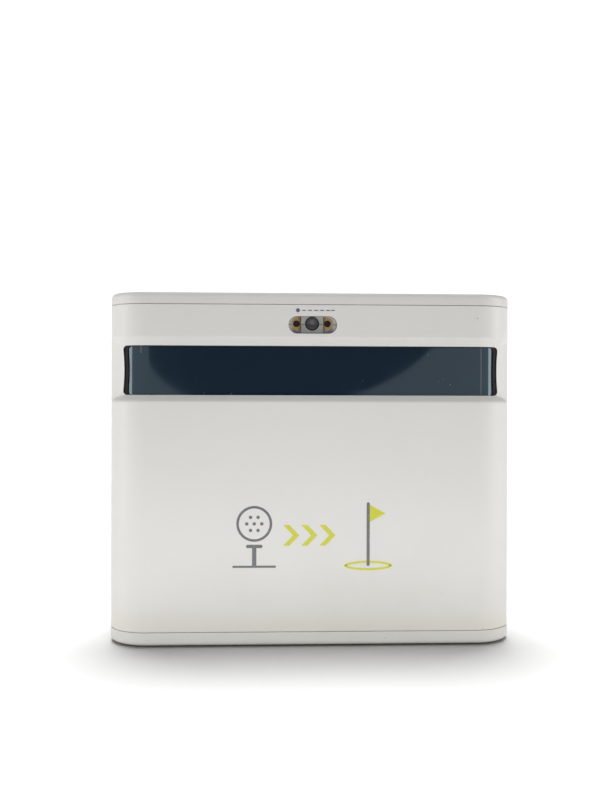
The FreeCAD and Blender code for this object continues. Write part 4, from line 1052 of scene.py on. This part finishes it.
antenna, tree, shader = new_material("antenna_film", IOR=1.5)
place = object_place(tree)
meander = add_node(
    tree, "TexWave", {"Vector": place, "Scale": 160.0, "Distortion": 0.0}, bands_direction="Z"
).outputs["Fac"]
line = stepped(tree, meander, 0.62, 0.70)
two_tones(tree, shader, line, (0.020, 0.019, 0.018, 1), (0.110, 0.072, 0.030, 1), 0.40, 0.28)
finish_with(shader, tree, line, 0.5, 0.00003)
paint(antenna, "wifi_antenna")


# ---- Camera and flash parts ----
# The sensor under its cover glass, the lens barrel and its mount, the light shroud, and the
# flash lamps in clear resin.

sensor, tree, shader = new_material("sensor_glass", IOR=1.52, Coat_Weight=1.0, Coat_Roughness=0.02)
place = object_place(tree)
photosites = add_node(tree, "TexChecker", {"Vector": place, "Scale": 6000.0}).outputs["Fac"]
sweep = stepped(tree, noise(tree, place, 120.0, 1.0), 0.3, 0.7)
shimmer = colour_between(tree, sweep, (0.020, 0.028, 0.060, 1), (0.060, 0.030, 0.075, 1))
tree.links.new(
    colour_between(tree, number(tree, "MULTIPLY", photosites, 0.35), shimmer, (0.02, 0.07, 0.05, 1)),
    shader.inputs["Base Color"],
)
tree.links.new(stepped(tree, sweep, 0.0, 1.0, 0.08, 0.14), shader.inputs["Roughness"])
paint(sensor, "image_sensor")


def dark_moulding(name, low, high, roughness, grain_scale):
    """Black glass-filled plastic, faintly mottled."""
    material, tree, shader = new_material(name, IOR=1.5)
    grain = use_group(tree, moulded_grain, Grain=grain_scale, Drift=110.0)
    mottled = stepped(tree, grain.outputs["Matt"], 0.32, 0.70)
    body = colour_between(tree, mottled, low, high)
    rub = use_group(tree, rubbed_edges, Width=0.0004, Breakup=480.0).outputs["Mask"]
    lit = tuple(min(1.0, c * 2.2) for c in high[:3]) + (1,)
    tree.links.new(colour_between(tree, rub, body, lit), shader.inputs["Base Color"])
    tree.links.new(
        stepped(tree, mottled, 0.0, 1.0, roughness, roughness + 0.12), shader.inputs["Roughness"]
    )
    finish_with(shader, tree, grain.outputs["Height"], 0.4, 0.00004)
    return material


paint(
    dark_moulding("inner_black", (0.014, 0.014, 0.015, 1), (0.028, 0.028, 0.029, 1), 0.55, 2800.0),
    "battery_tray", "lens_mount", "camera_shroud",
)
paint(
    dark_moulding("lens_barrel_black", (0.010, 0.010, 0.011, 1), (0.020, 0.020, 0.021, 1), 0.36, 4200.0),
    "lens_barrel",
)

lamp_resin, tree, shader = new_material("lamp_resin", IOR=1.54, Transmission_Weight=0.3)
place = object_place(tree)
phosphor = stepped(tree, noise(tree, place, 1300.0, 3.0), 0.35, 0.7)
two_tones(tree, shader, phosphor, (0.74, 0.68, 0.36, 1), (0.82, 0.80, 0.62, 1), 0.12, 0.24)
paint(lamp_resin, "flash_leds", "status_leds")

sleeve, tree, shader = new_material("capacitor_sleeve", IOR=1.5, Coat_Weight=0.4, Coat_Roughness=0.1)
place = object_place(tree)
shrink = stepped(tree, noise(tree, place, 300.0, 3.0), 0.35, 0.7)
two_tones(tree, shader, shrink, (0.012, 0.020, 0.060, 1), (0.022, 0.034, 0.090, 1), 0.26, 0.38)
finish_with(shader, tree, noise(tree, place, 420.0, 2.0), 0.3, 0.00006)
paint(sleeve, "flash_capacitors")


# ---- Battery and wiring ----
# Two cells in a heat-shrunk blue wrap, held down by a woven strap, with silicone leads and
# folded film ribbons to the boards.

wrap, tree, shader = new_material("cell_wrap", IOR=1.5, Coat_Weight=0.5, Coat_Roughness=0.12)
place = object_place(tree)
crease_and_glint = noise(tree, place, 180.0, 4.0, 0.6)
tone = stepped(tree, crease_and_glint, 0.35, 0.7)
two_tones(tree, shader, tone, (0.015, 0.085, 0.210, 1), (0.024, 0.120, 0.280, 1), 0.22, 0.36)
finish_with(shader, tree, crease_and_glint, 0.4, 0.00010)
paint(wrap, "battery_cells")

webbing, tree, shader = new_material("strap_webbing", Sheen_Weight=0.4, Sheen_Roughness=0.5)
place = object_place(tree)
warp = add_node(
    tree, "TexWave", {"Vector": place, "Scale": 420.0, "Distortion": 0.6}, bands_direction="X"
).outputs["Fac"]
weft = add_node(
    tree, "TexWave", {"Vector": place, "Scale": 420.0, "Distortion": 0.6}, bands_direction="Y"
).outputs["Fac"]
woven = number(tree, "MAXIMUM", warp, weft)
two_tones(tree, shader, woven, (0.008, 0.008, 0.009, 1), (0.042, 0.042, 0.045, 1), 0.95, 0.80)
finish_with(shader, tree, woven, 0.7, 0.00015)
paint(webbing, "battery_strap")

silicone, tree, shader = new_material("wire_sleeve", IOR=1.42, Specular_IOR_Level=0.4)
place = object_place(tree)
dusted = stepped(tree, noise(tree, place, 500.0, 4.0), 0.40, 0.75)
two_tones(tree, shader, dusted, (0.30, 0.014, 0.012, 1), (0.38, 0.050, 0.042, 1), 0.45, 0.65)
finish_with(shader, tree, noise(tree, place, 1400.0, 2.0), 0.3, 0.00003)
paint(silicone, "battery_leads", "flash_leads", "laser_leads")

film, tree, shader = new_material("ribbon_film", IOR=1.55, Coat_Weight=0.5, Coat_Roughness=0.1)
place = object_place(tree)
strands = add_node(
    tree, "TexWave", {"Vector": place, "Scale": 320.0, "Distortion": 0.0}, bands_direction="X"
).outputs["Fac"]
strand = stepped(tree, strands, 0.45, 0.60)
two_tones(tree, shader, strand, (0.200, 0.075, 0.014, 1), (0.330, 0.150, 0.040, 1), 0.28, 0.36)
finish_with(shader, tree, strand, 0.5, 0.00003)
paint(film, "camera_ribbon", "io_ribbon")
